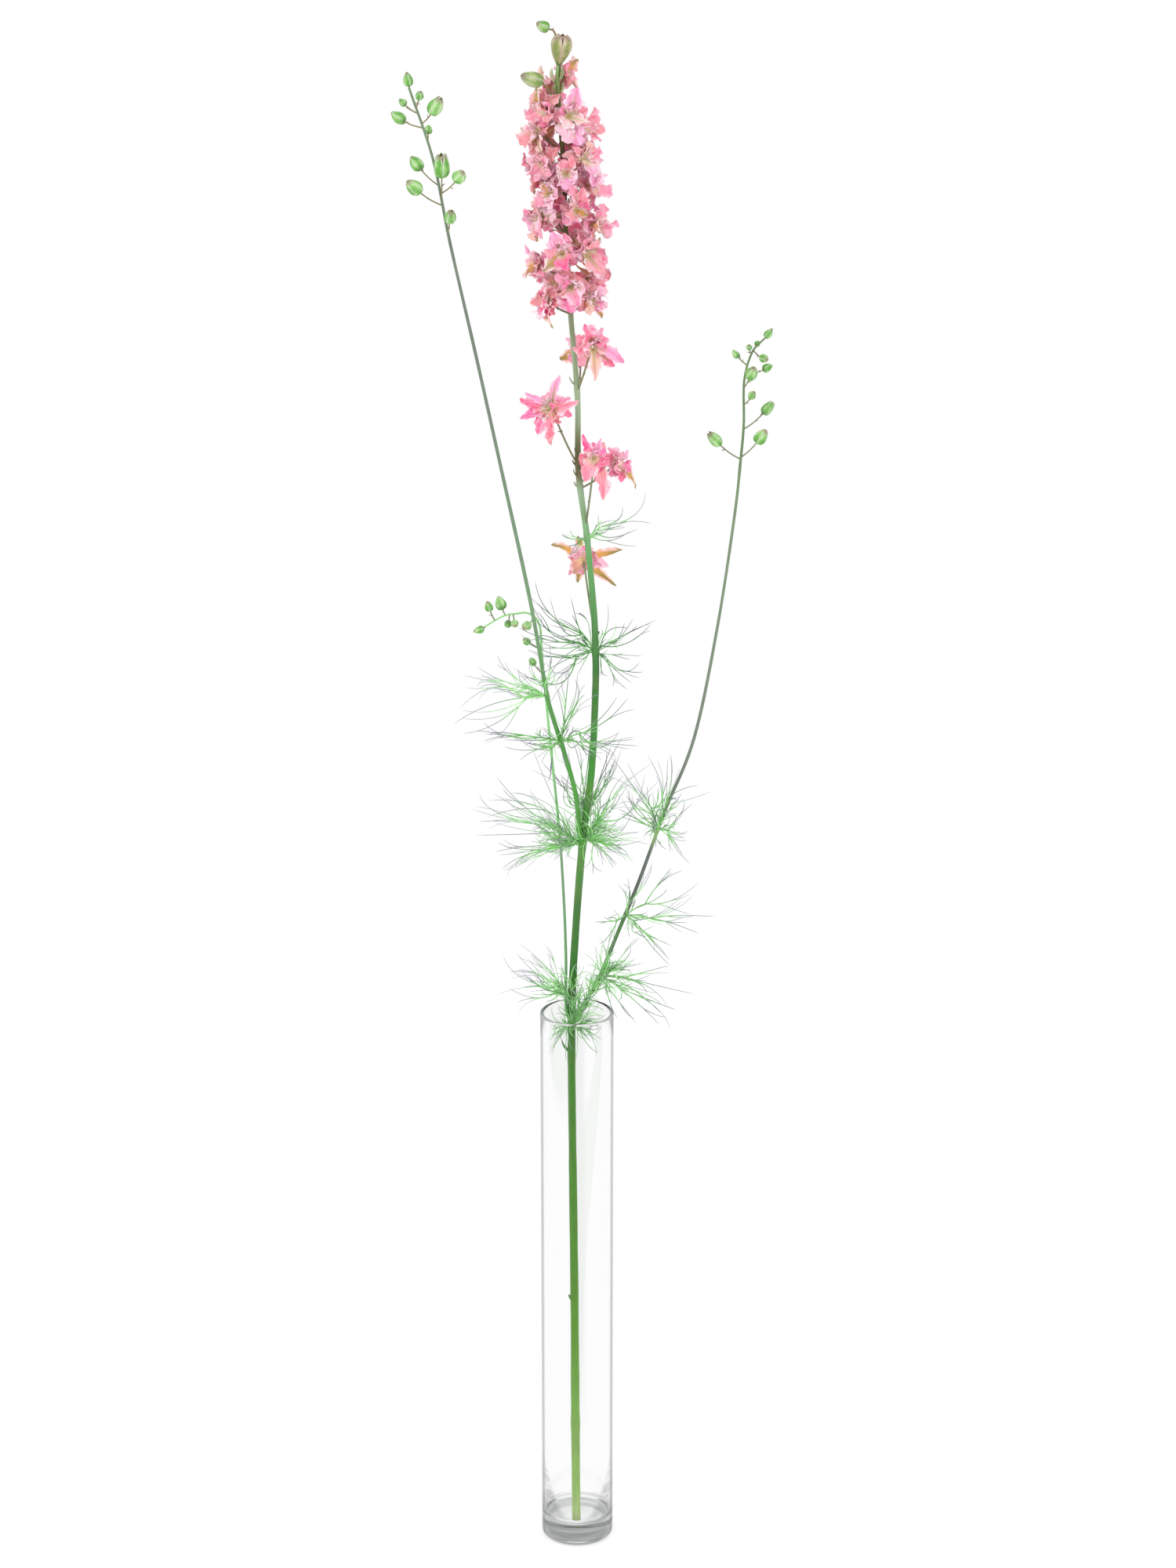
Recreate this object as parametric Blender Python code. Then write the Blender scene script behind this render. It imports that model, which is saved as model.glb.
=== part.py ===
"""A stem of pink larkspur with its side branches, standing in a tall glass cylinder vase.

Frame: metres, +Z up, the front of the arrangement faces -Y. The origin is the centre of the vase's
foot, on the table. Points in the tables below are millimetres in that frame, as (x, y, z).
Every piece keeps a small GAP to the piece that carries it, so no two solids share volume.
"""

import math

import bmesh
import bpy
from mathutils import Matrix, Vector
from mathutils.geometry import interpolate_bezier

MM = 0.001
GAP = 0.3 * MM  # clearance between pieces that touch

# Vase: a straight glass cylinder with a thick solid base
VASE_HEIGHT = 315 * MM
VASE_RADIUS = 20 * MM
VASE_WALL = 2 * MM
VASE_BASE = 12 * MM
FOOT_ROUNDING = 3 * MM
FLOOR_ROUNDING = 4 * MM
VASE_SEGMENTS = 48

# Stems: centre lines by hand, and the radius at the foot and at the tip of each
MAIN_ROUTE = [
    (-0.5, -10, 12.5), (-1, -4, 70), (-1.5, 2, 146), (-2.5, 8, 230), (-3, 14, 305),
    (-0.5, 18, 358), (3.5, 20, 409), (8, 22, 446), (10, 24, 490), (10, 24, 511),
    (9, 25, 534), (5.5, 25, 573), (1, 25, 609), (0.5, 25, 649), (-3, 24, 693),
    (-5.5, 24, 738), (-7, 23, 776), (-9, 23, 802), (-9.5, 23, 816),
]
LEFT_ROUTE = [
    (1.5, 17, 411), (-0.5, 15, 433), (-6, 12, 456), (-14, 8, 484), (-17, 6, 500), (-24.5, 0, 547),
    (-38.5, -10, 618), (-50.5, -18, 678), (-63, -25, 738), (-71, -28, 781), (-82.5, -29, 817),
]
RIGHT_ROUTE = [
    (0.5, 13, 308), (11.5, 14, 328), (22.5, 17, 355), (34, 20, 384), (47, 25, 420), (63, 30, 461),
    (75, 36, 521), (83.5, 41, 580), (86.5, 43, 610), (88, 44, 630), (88, 45, 653),
    (92, 45, 668), (98, 45, 675),
]
BACK_ROUTE = [
    (-6, 14, 312), (-6, 20.5, 336), (-7, 28, 366), (-9.5, 34, 406), (-14.5, 41, 456), (-18.5, 45, 500),
    (-20, 46, 519), (-25.5, 46, 525.5), (-32, 46, 525.5), (-39, 45, 524.5), (-49.5, 43, 519),
]
MAIN_RADII = (2.4 * MM, 1.1 * MM)
LEFT_RADII = (1.45 * MM, 0.6 * MM)
RIGHT_RADII = (1.2 * MM, 0.5 * MM)
BACK_RADII = (0.9 * MM, 0.4 * MM)
LEFT_SPRAY_FOOT = 736 * MM  # height where a bare branch ends and its spray of buds begins
RIGHT_SPRAY_FOOT = 606 * MM
BACK_SPRAY_FOOT = 486 * MM
STEM_SIDES = 8
BRANCH_SIDES = 6

# Side stubs left on the main stem: height, side (degrees from the front, + to the right), length
STEM_STUBS = [(143, -95, 3), (287, -80, 7)]
STUB_RADIUS = 0.9 * MM
STUB_LEAN = math.radians(37)  # from upright

# Florets of the spike: height, azimuth (degrees from the front, + to the right), distance from the stem
SPIKE_FLORETS = [
    (815, 140, 8), (809, -135, 9), (799, -45, 12), (797, 20, 15), (796, 175, 11),
    (787, -62, 15), (789, 82, 12), (783, -130, 13), (777, 140, 13), (775, 50, 15),
    (772, -42, 15), (768, 6, 15), (766, -110, 15), (762, 178, 13), (757, -30, 14),
    (759, 72, 15), (751, 130, 14), (749, 25, 15), (744, -55, 16), (743, -150, 14),
    (739, 76, 16), (727, -8, 16), (728, 165, 14), (727, 44, 15), (720, -75, 17),
    (710, 4, 16), (712, 115, 15), (702, -50, 17), (702, 52, 14), (707, -150, 15),
]
# Florets below the spike: centre, the way each faces, and the height where its stalk leaves the stem
LOWER_FLORETS = [
    ((9.5, 11, 679), (0.5, -0.8, -0.3), 652),
    ((2, 43, 668), (-0.2, 0.9, -0.4), 642),
    ((-14, 9, 646.5), (-0.5, -0.8, 0.2), 613),
    ((9.5, 7, 620), (0.1, -0.95, 0.1), 580),
    ((22.5, 15, 615.5), (0.75, -0.6, 0.1), 600),
    ((3.5, 38, 558.5), (-0.1, 1.0, 0.1), 521),
]
FLORET_REACH = 15 * MM  # from the throat to the tip of an open sepal; the shares below are of the reach
CUP_PROFILE = [(0, -0.46), (0.55, -0.26), (0.94, 0.3), (0.5, 0.02), (0, -0.16)]  # (radius, height)
LOBES = 5
LOBE_NOTCH = 0.28  # how deep the edge dips between two lobes
HEEL = 0.25  # the stalk and the spur start this far behind the throat
SPUR_RISE = 0.72
SPUR_SETBACK = 0.5
SPUR_RADII = (0.14, 0.05)
NOD = 0.3  # the spike's florets nod and lift by up to this much, in turn
NOD_STEP = 2.4  # radians from one floret's nod to the next one's
STALK_RISE = 9 * MM  # a spike floret's stalk starts this far below its throat
STALK_RADIUS = 0.5 * MM
STALK_SAG = 0.08  # drop of a stalk's middle, as a share of its length
STALK_SIDES = 4
STEM_CLEARANCE = 1 * MM

# Leaves: what carries each, the height and side of its foot, and its arms as lists of ray tips
LEAVES = {
    "leaf_main_upper": ("main", 573, 20, [
        [(36, 14, 600), (24, 16, 592)], [(32, 32, 576), (18, 10, 585)], [(-8, 28, 574), (-5, 14, 568)]]),
    "leaf_main_middle": ("main", 511, 0, [
        [(-22, 30, 548), (-14, 14, 544), (-3, 34, 538)], [(-24, 42, 532), (-31, 18, 526)],
        [(-34, 34, 499), (-14, 30, 498)], [(42, 18, 530), (30, 34, 526)], [(33, 10, 509), (27, 24, 490)]]),
    "leaf_left_high": ("left", 491, -60, [
        [(-52, 2, 509), (-42, 20, 510)], [(-62, 16, 482), (-53, 28, 490)], [(-60, -12, 485), (-42, -8, 500)],
        [(-14, -12, 526), (-24, -12, 516)]]),
    "leaf_left_low": ("left", 465, 10, [
        [(-49, 0, 479), (-46, 18, 466)], [(-33, -12, 474), (-15, -12, 450)], [(-4, -2, 508), (-1, 8, 500)],
        [(27, 8, 490), (22, -15, 478)], [(33, 12, 462), (19, 0, 470)]]),
    "leaf_fork_left": ("main", 404, -50, [
        [(-52, 10, 436), (-43, 26, 440)], [(-43, 40, 398), (-40, 2, 396)],
        [(-20, -10, 411), (-28, 38, 412)]]),
    "leaf_fork_right": ("main", 407, 55, [
        [(27, 10, 441), (36, -4, 452)], [(35, 6, 411), (24, 34, 392)], [(14, -7, 398), (30, -12, 435)]]),
    "leaf_fork_rear": ("main", 415, 165, [
        [(-4, 34, 463), (8, 42, 466)], [(24, 38, 458), (16, 52, 448)], [(-19, 52, 440), (-4, 56, 436)]]),
    "leaf_right_high": ("right", 411, -20, [
        [(27, 26, 448), (38, 14, 456)], [(50, 20, 455), (56, 8, 437)], [(62, 14, 429), (61, 20, 393)],
        [(24, 20, 430), (48, 2, 407)]]),
    "leaf_right_low": ("right", 364, 60, [
        [(57, 22, 388), (65, 0, 389)], [(75, 10, 366), (67, 26, 350)], [(49, 36, 341), (50, 0, 345)],
        [(40, 2, 398), (22, -4, 390)], [(10, 2, 366), (12, 0, 354)]]),
    "leaf_over_rim": ("right", 330, 40, [
        [(34, 14, 352), (36, -2, 344)], [(51, 28, 331), (64, 5, 323)], [(53, -15, 322), (45, 8, 304)],
        [(32, -12, 313), (14, -12, 334)]]),
    "leaf_rim_left": ("main", 317, -30, [
        [(-40, 14, 342), (-30, 2, 338)], [(-33, 24, 340), (-18, 22, 346)], [(-24, 28, 328), (-38, 18, 322)]]),
    "leaf_in_mouth": ("main", 301, -15, [
        [(-14.5, 9, 304), (-13, 9.5, 294)], [(6, 10, 295), (13, 9.5, 302)]]),
}
ARM_SHARE = 0.42  # an arm forks this far along the way to its tips
ARM_RADIUS = 0.5 * MM
KNUCKLE_RADIUS = 0.8 * MM  # the small swelling where a leaf's arms meet
RAY_RADII = (0.4 * MM, 0.2 * MM)
RAY_ARCH = 0.06  # rise of a ray's middle, as a share of its length
LEAF_SIDES = 3

# Buds: centre, length, width, and the height (or the point) on the spray where the stalk starts
LEFT_BUDS = [
    ((-83, -29, 821), 7, 5, 815), ((-86, -24, 809), 4.5, 3.5, 804), ((-77, -34, 814), 5, 4, 807),
    ((-69, -36, 809), 11, 7.5, 799), ((-88.5, -20, 801), 9, 6, 797), ((-73.5, -20, 795), 5, 4, 790),
    ((-80, -17, 777.5), 9, 6.5, 768), ((-66.5, -35, 779), 13, 8, 761), ((-57.5, -40, 775), 8, 7, 764),
    ((-80.5, -36, 769), 10, 7.5, 758), ((-62.5, -35, 754), 8, 6, 744),
]
RIGHT_BUDS = [
    ((100.5, 45, 678), 6, 4, 674), ((83.5, 50, 666), 5, 3.5, 661), ((90, 37, 672.5), 3.5, 3, 667),
    ((95, 53, 671), 4, 3, 670), ((98, 36, 666.5), 6, 4.5, 669), ((91.5, 36, 659), 9, 6.5, 649),
    ((100.5, 53, 658), 6, 4.5, 656), ((92, 37, 647), 6, 4, 640), ((101, 54, 636), 8.5, 5.5, 627),
    ((72.5, 36, 623.5), 10, 6, 611), ((97, 36, 625), 9.5, 7, 612),
]
BACK_BUDS = [
    ((-52.5, 42, 517.5), 6, 4, (-49, 43, 519)), ((-47, 41, 531), 6, 4.5, (-44, 44, 522.5)),
    ((-41, 51, 530), 8, 6, (-38, 45, 524.5)), ((-33, 38, 522), 5, 4, (-34, 46, 525)),
    ((-37, 51, 518), 5, 4, (-36, 45.5, 525)), ((-27, 37, 521), 7, 5, (-23, 46, 523.5)),
    ((-27, 40, 512), 5, 4, (-19, 45.5, 506)), ((-24, 52, 497), 5, 4, (-18, 44.5, 492)),
]
# Single buds at the top of the main stem: stalk knots from the stem outwards, bud centre, length, width
TOP_BUDS = {
    "top_bud_small": ([(-9.5, 25, 808), (-9, 31.5, 826), (-11, 31, 836)], (-16, 28, 839.5), 9, 7),
    "top_bud_open": ([(-9.5, 23, 816.5), (-9, 23, 820)], (-8.5, 22, 828), 17, 10.5),
    "top_bud_side": ([(-10.5, 21.5, 801), (-13.5, 18, 808), (-17, 14.5, 813)], (-22.5, 10, 815.5), 14, 8),
}
BUD_PROFILE = [(0, -0.5), (0.3, -0.42), (0.5, -0.1), (0.42, 0.2), (0, 0.5)]  # shares of width and length
BUD_SEGMENTS = 6
BUD_SEAT = 0.2  # the stalk ends this share of the length behind the bud's centre
BUD_STALK_RADIUS = 0.45 * MM
BUD_STALK_ELBOW = 0.45  # place of a bud stalk's bend along it
BUD_STALK_SAG = 0.1
SHARP_ANGLE = math.radians(40)


def clear_scene():
    for obj in list(bpy.data.objects):
        bpy.data.objects.remove(obj, do_unlink=True)


def material(name, colour, roughness, transmission=0.0):
    made = bpy.data.materials.new(name)
    made.use_nodes = True
    shader = made.node_tree.nodes["Principled BSDF"]
    shader.inputs["Base Color"].default_value = (*colour, 1.0)
    shader.inputs["Roughness"].default_value = roughness
    shader.inputs["Metallic"].default_value = 0.0
    shader.inputs["Transmission Weight"].default_value = transmission
    return made


def millimetres(points):
    return [Vector(point) * MM for point in points]


def smooth_route(knots, steps=2):
    """A smooth line through the knots: every span is a Bezier whose handles follow its neighbours."""
    padded = [2 * knots[0] - knots[1], *knots, 2 * knots[-1] - knots[-2]]
    line = [knots[0]]
    for before, start, end, after in zip(padded, padded[1:], padded[2:], padded[3:]):
        handles = start + (end - before) / 6, end - (after - start) / 6
        line += interpolate_bezier(start, *handles, end, steps + 1)[1:]
    return line


def stem_line(route, radii):
    """A stem's centre line with its radius at each point, thinning evenly from foot to tip."""
    line = smooth_route(millimetres(route))
    foot, tip = radii
    last = len(line) - 1
    return [(point, foot + (tip - foot) * i / last) for i, point in enumerate(line)]


def at_height(stem, height):
    """The centre point and radius of a stem at a height."""
    for (low, low_radius), (high, high_radius) in zip(stem, stem[1:]):
        if low.z <= height <= high.z:
            share = (height - low.z) / (high.z - low.z)
            return low.lerp(high, share), low_radius + (high_radius - low_radius) * share
    raise ValueError(f"the stem doesn't reach {height:.4f} m")


def split_stem(stem, height):
    """The part of a stem below a height and the part above it, with the gap between their ends."""
    cut = next(i for i, (point, _) in enumerate(stem) if point.z > height)
    below, above = at_height(stem, height - GAP / 2), at_height(stem, height + GAP / 2)
    return [*stem[:cut], below], [above, *stem[cut:]]


def outward(azimuth):
    """The level direction at an azimuth, in degrees from the front, + to the right."""
    angle = math.radians(azimuth)
    return Vector((math.sin(angle), -math.cos(angle), 0.0))


def azimuth_of(direction):
    """The azimuth of a direction, in degrees from the front, + to the right."""
    return math.degrees(math.atan2(direction.x, -direction.y))


def stem_centre(stem, height):
    return at_height(stem, height)[0]


def foot_on(stem, height, azimuth, radius):
    """Where a side piece of a radius starts: beside a stem, a gap away from it."""
    centre, stem_radius = at_height(stem, height)
    return centre + outward(azimuth) * (stem_radius + radius + GAP)


def tube(line, sides):
    """A closed tube along (point, radius) pairs, each ring turned as little as it can be from the last."""
    mesh = bmesh.new()
    points = [point for point, _ in line]
    ahead = [(b - a).normalized() for a, b in zip(points, points[1:])]
    tangents = [ahead[0], *((a + b).normalized() for a, b in zip(ahead, ahead[1:])), ahead[-1]]
    normal = tangents[0].orthogonal().normalized()
    rings = []
    for (point, radius), tangent in zip(line, tangents):
        normal = (normal - tangent * normal.dot(tangent)).normalized()
        across = tangent.cross(normal)
        angles = [math.tau * i / sides for i in range(sides)]
        ring = [point + radius * (math.cos(a) * normal + math.sin(a) * across) for a in angles]
        rings.append([mesh.verts.new(corner) for corner in ring])
    for low, high in zip(rings, rings[1:]):
        for i in range(sides):
            j = (i + 1) % sides
            mesh.faces.new((low[i], low[j], high[j], high[i]))
    mesh.faces.new(list(reversed(rings[0])))
    mesh.faces.new(rings[-1])
    return mesh


def turned(profile, segments):
    """A closed turned shape: the (radius, height) profile runs from pole to pole, up the outer side."""
    mesh = bmesh.new()
    corners = [mesh.verts.new((radius, 0.0, height)) for radius, height in profile]
    edges = [mesh.edges.new(pair) for pair in zip(corners, corners[1:])]
    bmesh.ops.spin(mesh, geom=corners + edges, cent=(0, 0, 0), axis=(0, 0, 1),
                   angle=math.tau, steps=segments, use_duplicate=False)
    bmesh.ops.remove_doubles(mesh, verts=mesh.verts, dist=GAP / 100)
    bmesh.ops.recalc_face_normals(mesh, faces=mesh.faces)
    return mesh


def arc(centre, radius, start, end, steps):
    """Points of a circular arc in (radius, height), angles in degrees."""
    angles = [math.radians(start + (end - start) * i / steps) for i in range(steps + 1)]
    return [(centre[0] + radius * math.cos(a), centre[1] + radius * math.sin(a)) for a in angles]


def aim(direction, place):
    """The matrix that stands a shape's +Z along a direction, at a place."""
    return Matrix.Translation(place) @ direction.to_track_quat("Z", "Y").to_matrix().to_4x4()


def fused(shapes):
    """One closed mesh from closed shapes that overlap their neighbours."""
    objects = []
    for shape in shapes:
        mesh = bpy.data.meshes.new("shape")
        shape.to_mesh(mesh)
        shape.free()
        objects.append(bpy.data.objects.new("shape", mesh))
        bpy.context.scene.collection.objects.link(objects[-1])
    body = objects[0]
    for other in objects[1:]:
        join = body.modifiers.new("join", "BOOLEAN")
        join.operation = "UNION"
        join.object = other
    evaluated = body.evaluated_get(bpy.context.evaluated_depsgraph_get())
    mesh = bpy.data.meshes.new_from_object(evaluated)
    for obj in objects:
        bpy.data.objects.remove(obj)
    return mesh


def add_node(name, shapes, finish):
    """Adds one named piece, made of closed shapes that are joined into one solid."""
    mesh = fused(shapes)
    mesh.name = name
    mesh.materials.clear()
    mesh.materials.append(finish)
    mesh.shade_smooth()
    mesh.set_sharp_from_angle(angle=SHARP_ANGLE)
    node = bpy.data.objects.new(name, mesh)
    bpy.context.scene.collection.objects.link(node)
    return node


def vase_shape():
    """The glass cylinder: solid base, rounded foot, straight wall, fire-rounded rim."""
    inner = VASE_RADIUS - VASE_WALL
    lip = VASE_WALL / 2
    foot = arc((VASE_RADIUS - FOOT_ROUNDING, FOOT_ROUNDING), FOOT_ROUNDING, -90, 0, 2)
    rim = arc((VASE_RADIUS - lip, VASE_HEIGHT - lip), lip, 0, 180, 2)
    floor = arc((inner - FLOOR_ROUNDING, VASE_BASE + FLOOR_ROUNDING), FLOOR_ROUNDING, 0, -90, 2)
    return turned([(0, 0), *foot, *rim, *floor, (0, VASE_BASE)], VASE_SEGMENTS)


def stub_shape(stem, height, azimuth, length):
    """A short pointed stub that grows out of a stem and turns upward."""
    centre, radius = at_height(stem, height * MM)
    root = centre + outward(azimuth) * radius / 2
    along = outward(azimuth) * math.sin(STUB_LEAN) + Vector((0, 0, math.cos(STUB_LEAN)))
    tip = root + along * length * MM
    return tube([(root, STUB_RADIUS), (tip, STUB_RADIUS / 2)], BRANCH_SIDES)


def cup_shape(reach):
    """A floret's cup facing +Z: five lobes that reach as far as the open sepals, hollow in front."""
    profile = [(radius * reach, height * reach) for radius, height in CUP_PROFILE]
    cup = turned(profile, 2 * LOBES)
    for corner in cup.verts:
        share = corner.co.xy.length / reach
        angle = math.atan2(corner.co.y, corner.co.x)
        corner.co.xy *= 1 - LOBE_NOTCH * share * (1 - math.cos(LOBES * angle)) / 2
    return cup


def floret_shapes(stem, centre, facing, reach, stalk_foot):
    """A floret: its cup, the short spur behind it and the stalk that carries it."""
    facing = facing.normalized()
    cup = cup_shape(reach)
    cup.transform(aim(facing, centre))
    heel = centre - facing * HEEL * reach
    spur_tip = centre + Vector((0, 0, SPUR_RISE)) * reach - facing * SPUR_SETBACK * reach
    thick, thin = SPUR_RADII
    spur = tube([(heel, thick * reach), (spur_tip, thin * reach)], STALK_SIDES)
    azimuth = azimuth_of(heel - stem_centre(stem, stalk_foot))
    foot = foot_on(stem, stalk_foot, azimuth, STALK_RADIUS)
    bend = foot.lerp(heel, 0.5) - Vector((0, 0, STALK_SAG)) * (heel - foot).length
    stalk = tube([(point, STALK_RADIUS) for point in (foot, bend, heel)], STALK_SIDES)
    return [cup, spur, stalk]


def floret_places(stem):
    """Centre, facing and stalk foot of every floret: those of the spike first, then those below it."""
    places = []
    for i, (height, azimuth, distance) in enumerate(SPIKE_FLORETS):
        side = outward(azimuth)
        centre = stem_centre(stem, height * MM) + side * distance * MM
        facing = side + Vector((0, 0, NOD * math.sin(NOD_STEP * i)))
        places.append((centre, facing, height * MM - STALK_RISE))
    for centre, facing, foot in LOWER_FLORETS:
        places.append((Vector(centre) * MM, Vector(facing), foot * MM))
    return places


def floret_reach(index, places, stem):
    """How far a floret opens: fully, or until it would meet the next floret or the stem."""
    centre = places[index][0]
    others = [place[0] for i, place in enumerate(places) if i != index]
    neighbour = min((centre - other).length for other in others)
    beside_stem = min((centre - point).length - radius for point, radius in stem)
    return min(FLORET_REACH, neighbour / 2 - GAP / 2, beside_stem - STEM_CLEARANCE)


def leaf_shapes(stem, height, azimuth, arms):
    """A thread leaf: arms that fan out from one foot on the stem, each forking into thin rays."""
    foot = foot_on(stem, height * MM, azimuth, KNUCKLE_RADIUS)
    knuckle = turned(arc((0, 0), KNUCKLE_RADIUS, -90, 90, 4), BRANCH_SIDES)
    knuckle.transform(Matrix.Translation(foot))
    shapes = [knuckle]
    for arm in arms:
        tips = millimetres(arm)
        fork = foot.lerp(sum(tips, Vector()) / len(tips), ARM_SHARE)
        overlap = (fork - foot).normalized() * ARM_RADIUS
        shapes.append(tube([(foot, ARM_RADIUS), (fork + overlap, ARM_RADIUS)], LEAF_SIDES))
        for tip in tips:
            middle = fork.lerp(tip, 0.5) + Vector((0, 0, RAY_ARCH)) * (tip - fork).length
            start, end = RAY_RADII
            line = [(fork, start), (middle, (start + end) / 2), (tip, end)]
            shapes.append(tube(line, LEAF_SIDES))
    return shapes


def bud_shapes(centre, length, width, stalk):
    """A pointed bud at the end of its stalk. The stalk's points end at the bud's foot."""
    along = (centre - stalk[-1]).normalized()
    bud = turned([(radius * width, height * length) for radius, height in BUD_PROFILE], BUD_SEGMENTS)
    bud.transform(aim(along, centre))
    line = [*stalk, centre - along * length * BUD_SEAT]
    return [bud, tube([(point, BUD_STALK_RADIUS) for point in line], STALK_SIDES)]


def spray_shapes(rachis, buds):
    """The flowering top of a branch: its thin axis with a stalked bud at each entry."""
    shapes = [tube(rachis, BRANCH_SIDES)]
    for centre, length, width, start in buds:
        centre = Vector(centre) * MM
        foot = Vector(start) * MM if isinstance(start, tuple) else stem_centre(rachis, start * MM)
        elbow = foot.lerp(centre, BUD_STALK_ELBOW) - Vector((0, 0, BUD_STALK_SAG)) * (centre - foot).length
        shapes += bud_shapes(centre, length * MM, width * MM, [foot, elbow])
    return shapes


def build():
    clear_scene()
    glass = material("clear_glass", (0.95, 0.97, 0.97), 0.03, transmission=1.0)
    stem_green = material("stem_green", (0.20, 0.42, 0.17), 0.55)
    leaf_green = material("leaf_green", (0.30, 0.52, 0.28), 0.6)
    bud_green = material("bud_green", (0.42, 0.62, 0.30), 0.55)
    petal_pink = material("petal_pink", (0.86, 0.36, 0.56), 0.6)

    main = stem_line(MAIN_ROUTE, MAIN_RADII)
    left, left_spray = split_stem(stem_line(LEFT_ROUTE, LEFT_RADII), LEFT_SPRAY_FOOT)
    right, right_spray = split_stem(stem_line(RIGHT_ROUTE, RIGHT_RADII), RIGHT_SPRAY_FOOT)
    back, back_spray = split_stem(stem_line(BACK_ROUTE, BACK_RADII), BACK_SPRAY_FOOT)
    stems = {"main": main, "left": left, "right": right}

    add_node("vase", [vase_shape()], glass)
    stubs = [stub_shape(main, *stub) for stub in STEM_STUBS]
    add_node("main_stem", [tube(main, STEM_SIDES), *stubs], stem_green)
    add_node("left_branch", [tube(left, BRANCH_SIDES)], stem_green)
    add_node("right_branch", [tube(right, BRANCH_SIDES)], stem_green)
    add_node("back_branch", [tube(back, BRANCH_SIDES)], stem_green)

    for name, (carrier, height, azimuth, arms) in LEAVES.items():
        add_node(name, leaf_shapes(stems[carrier], height, azimuth, arms), leaf_green)

    add_node("left_bud_spray", spray_shapes(left_spray, LEFT_BUDS), bud_green)
    add_node("right_bud_spray", spray_shapes(right_spray, RIGHT_BUDS), bud_green)
    add_node("back_bud_spray", spray_shapes(back_spray, BACK_BUDS), bud_green)
    for name, (stalk, centre, length, width) in TOP_BUDS.items():
        shapes = bud_shapes(Vector(centre) * MM, length * MM, width * MM, millimetres(stalk))
        add_node(name, shapes, bud_green)

    places = floret_places(main)
    for i, (centre, facing, foot) in enumerate(places):
        lower = i - len(SPIKE_FLORETS)
        name = f"spike_floret_{i + 1:02d}" if lower < 0 else f"lower_floret_{lower + 1}"
        reach = floret_reach(i, places, main)
        add_node(name, floret_shapes(main, centre, facing, reach, foot), petal_pink)


build()
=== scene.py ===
# %% [markdown]
# # Larkspur in a glass vase
# A cut stem of pink larkspur stands in a slim glass cylinder. The solids of the frame give every piece its
# place and size. This script builds what the eye sees round them: thin ruffled sepals, thread-like leaves,
# folded buds, ribbed stems and clear glass.
#
# The work goes from the stage to the plant: first the camera and the light, then a few helpers that make
# lines, tubes and thin sheets, then the finishes, and at last one piece after another.

# %% Load the frame
import math

import bpy
import numpy as np
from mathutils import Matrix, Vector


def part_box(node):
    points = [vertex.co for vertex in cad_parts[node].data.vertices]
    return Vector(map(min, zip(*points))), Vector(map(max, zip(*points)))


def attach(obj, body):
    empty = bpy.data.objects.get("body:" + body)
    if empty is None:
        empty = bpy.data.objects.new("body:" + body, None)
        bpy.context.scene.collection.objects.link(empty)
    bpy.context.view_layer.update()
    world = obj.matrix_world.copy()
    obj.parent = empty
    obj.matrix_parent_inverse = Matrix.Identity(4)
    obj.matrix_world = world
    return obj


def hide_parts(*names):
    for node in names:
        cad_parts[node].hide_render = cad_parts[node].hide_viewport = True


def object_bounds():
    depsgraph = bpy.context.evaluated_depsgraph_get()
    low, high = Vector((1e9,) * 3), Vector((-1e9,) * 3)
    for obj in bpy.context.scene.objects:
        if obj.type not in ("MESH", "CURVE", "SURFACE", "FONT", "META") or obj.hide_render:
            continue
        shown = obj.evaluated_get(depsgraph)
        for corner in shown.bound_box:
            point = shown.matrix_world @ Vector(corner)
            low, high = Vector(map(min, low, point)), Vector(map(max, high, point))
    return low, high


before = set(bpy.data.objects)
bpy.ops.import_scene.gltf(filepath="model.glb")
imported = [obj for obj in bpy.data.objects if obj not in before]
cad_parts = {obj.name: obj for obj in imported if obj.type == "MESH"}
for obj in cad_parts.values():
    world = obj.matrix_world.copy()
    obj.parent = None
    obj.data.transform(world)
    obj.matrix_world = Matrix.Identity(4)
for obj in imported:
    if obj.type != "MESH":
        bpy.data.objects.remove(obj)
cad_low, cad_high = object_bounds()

MM = 0.001
print("the frame holds", len(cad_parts), "solids and is", round(cad_high.z, 3), "m tall")

# %% [markdown]
# ## The camera
# The vase is slim and tall, so it is seen from two metres away with a long lens, from above its rim. A long
# lens keeps the sides of the cylinder nearly parallel.

# %% Camera
CAMERA_PLACE = (0.006, -2.0, 1.11)
CAMERA_TILT = math.radians(71.6)  # 90 degrees would look level
CAMERA_LENS = 91.2

lens = bpy.data.cameras.new("camera")
lens.lens = CAMERA_LENS
lens.sensor_width = 36
camera = bpy.data.objects.new("camera", lens)
camera.location = CAMERA_PLACE
camera.rotation_euler = (CAMERA_TILT, 0, 0)
bpy.context.scene.collection.objects.link(camera)
bpy.context.scene.camera = camera
bpy.context.scene.view_settings.view_transform = "Standard"
print("the camera stands", abs(CAMERA_PLACE[1]), "m in front of the vase")

# %% [markdown]
# ## Nodes in few words
# Materials are trees of nodes. They could be drawn by hand in the node editor, but a script can repeat them.
# A few small helpers keep the trees readable: `add` makes a node and fills its inputs, `calc` does
# arithmetic, `times` multiplies masks, `remap` and `fall` turn a value into a mask, and `blend` and `stain`
# mix colours. An input takes either a plain value or the output of another node.

# %% Node helpers
def put(tree, node, key, value):
    if isinstance(value, bpy.types.NodeSocket):
        tree.links.new(value, node.inputs[key])
    else:
        node.inputs[key].default_value = value


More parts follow.
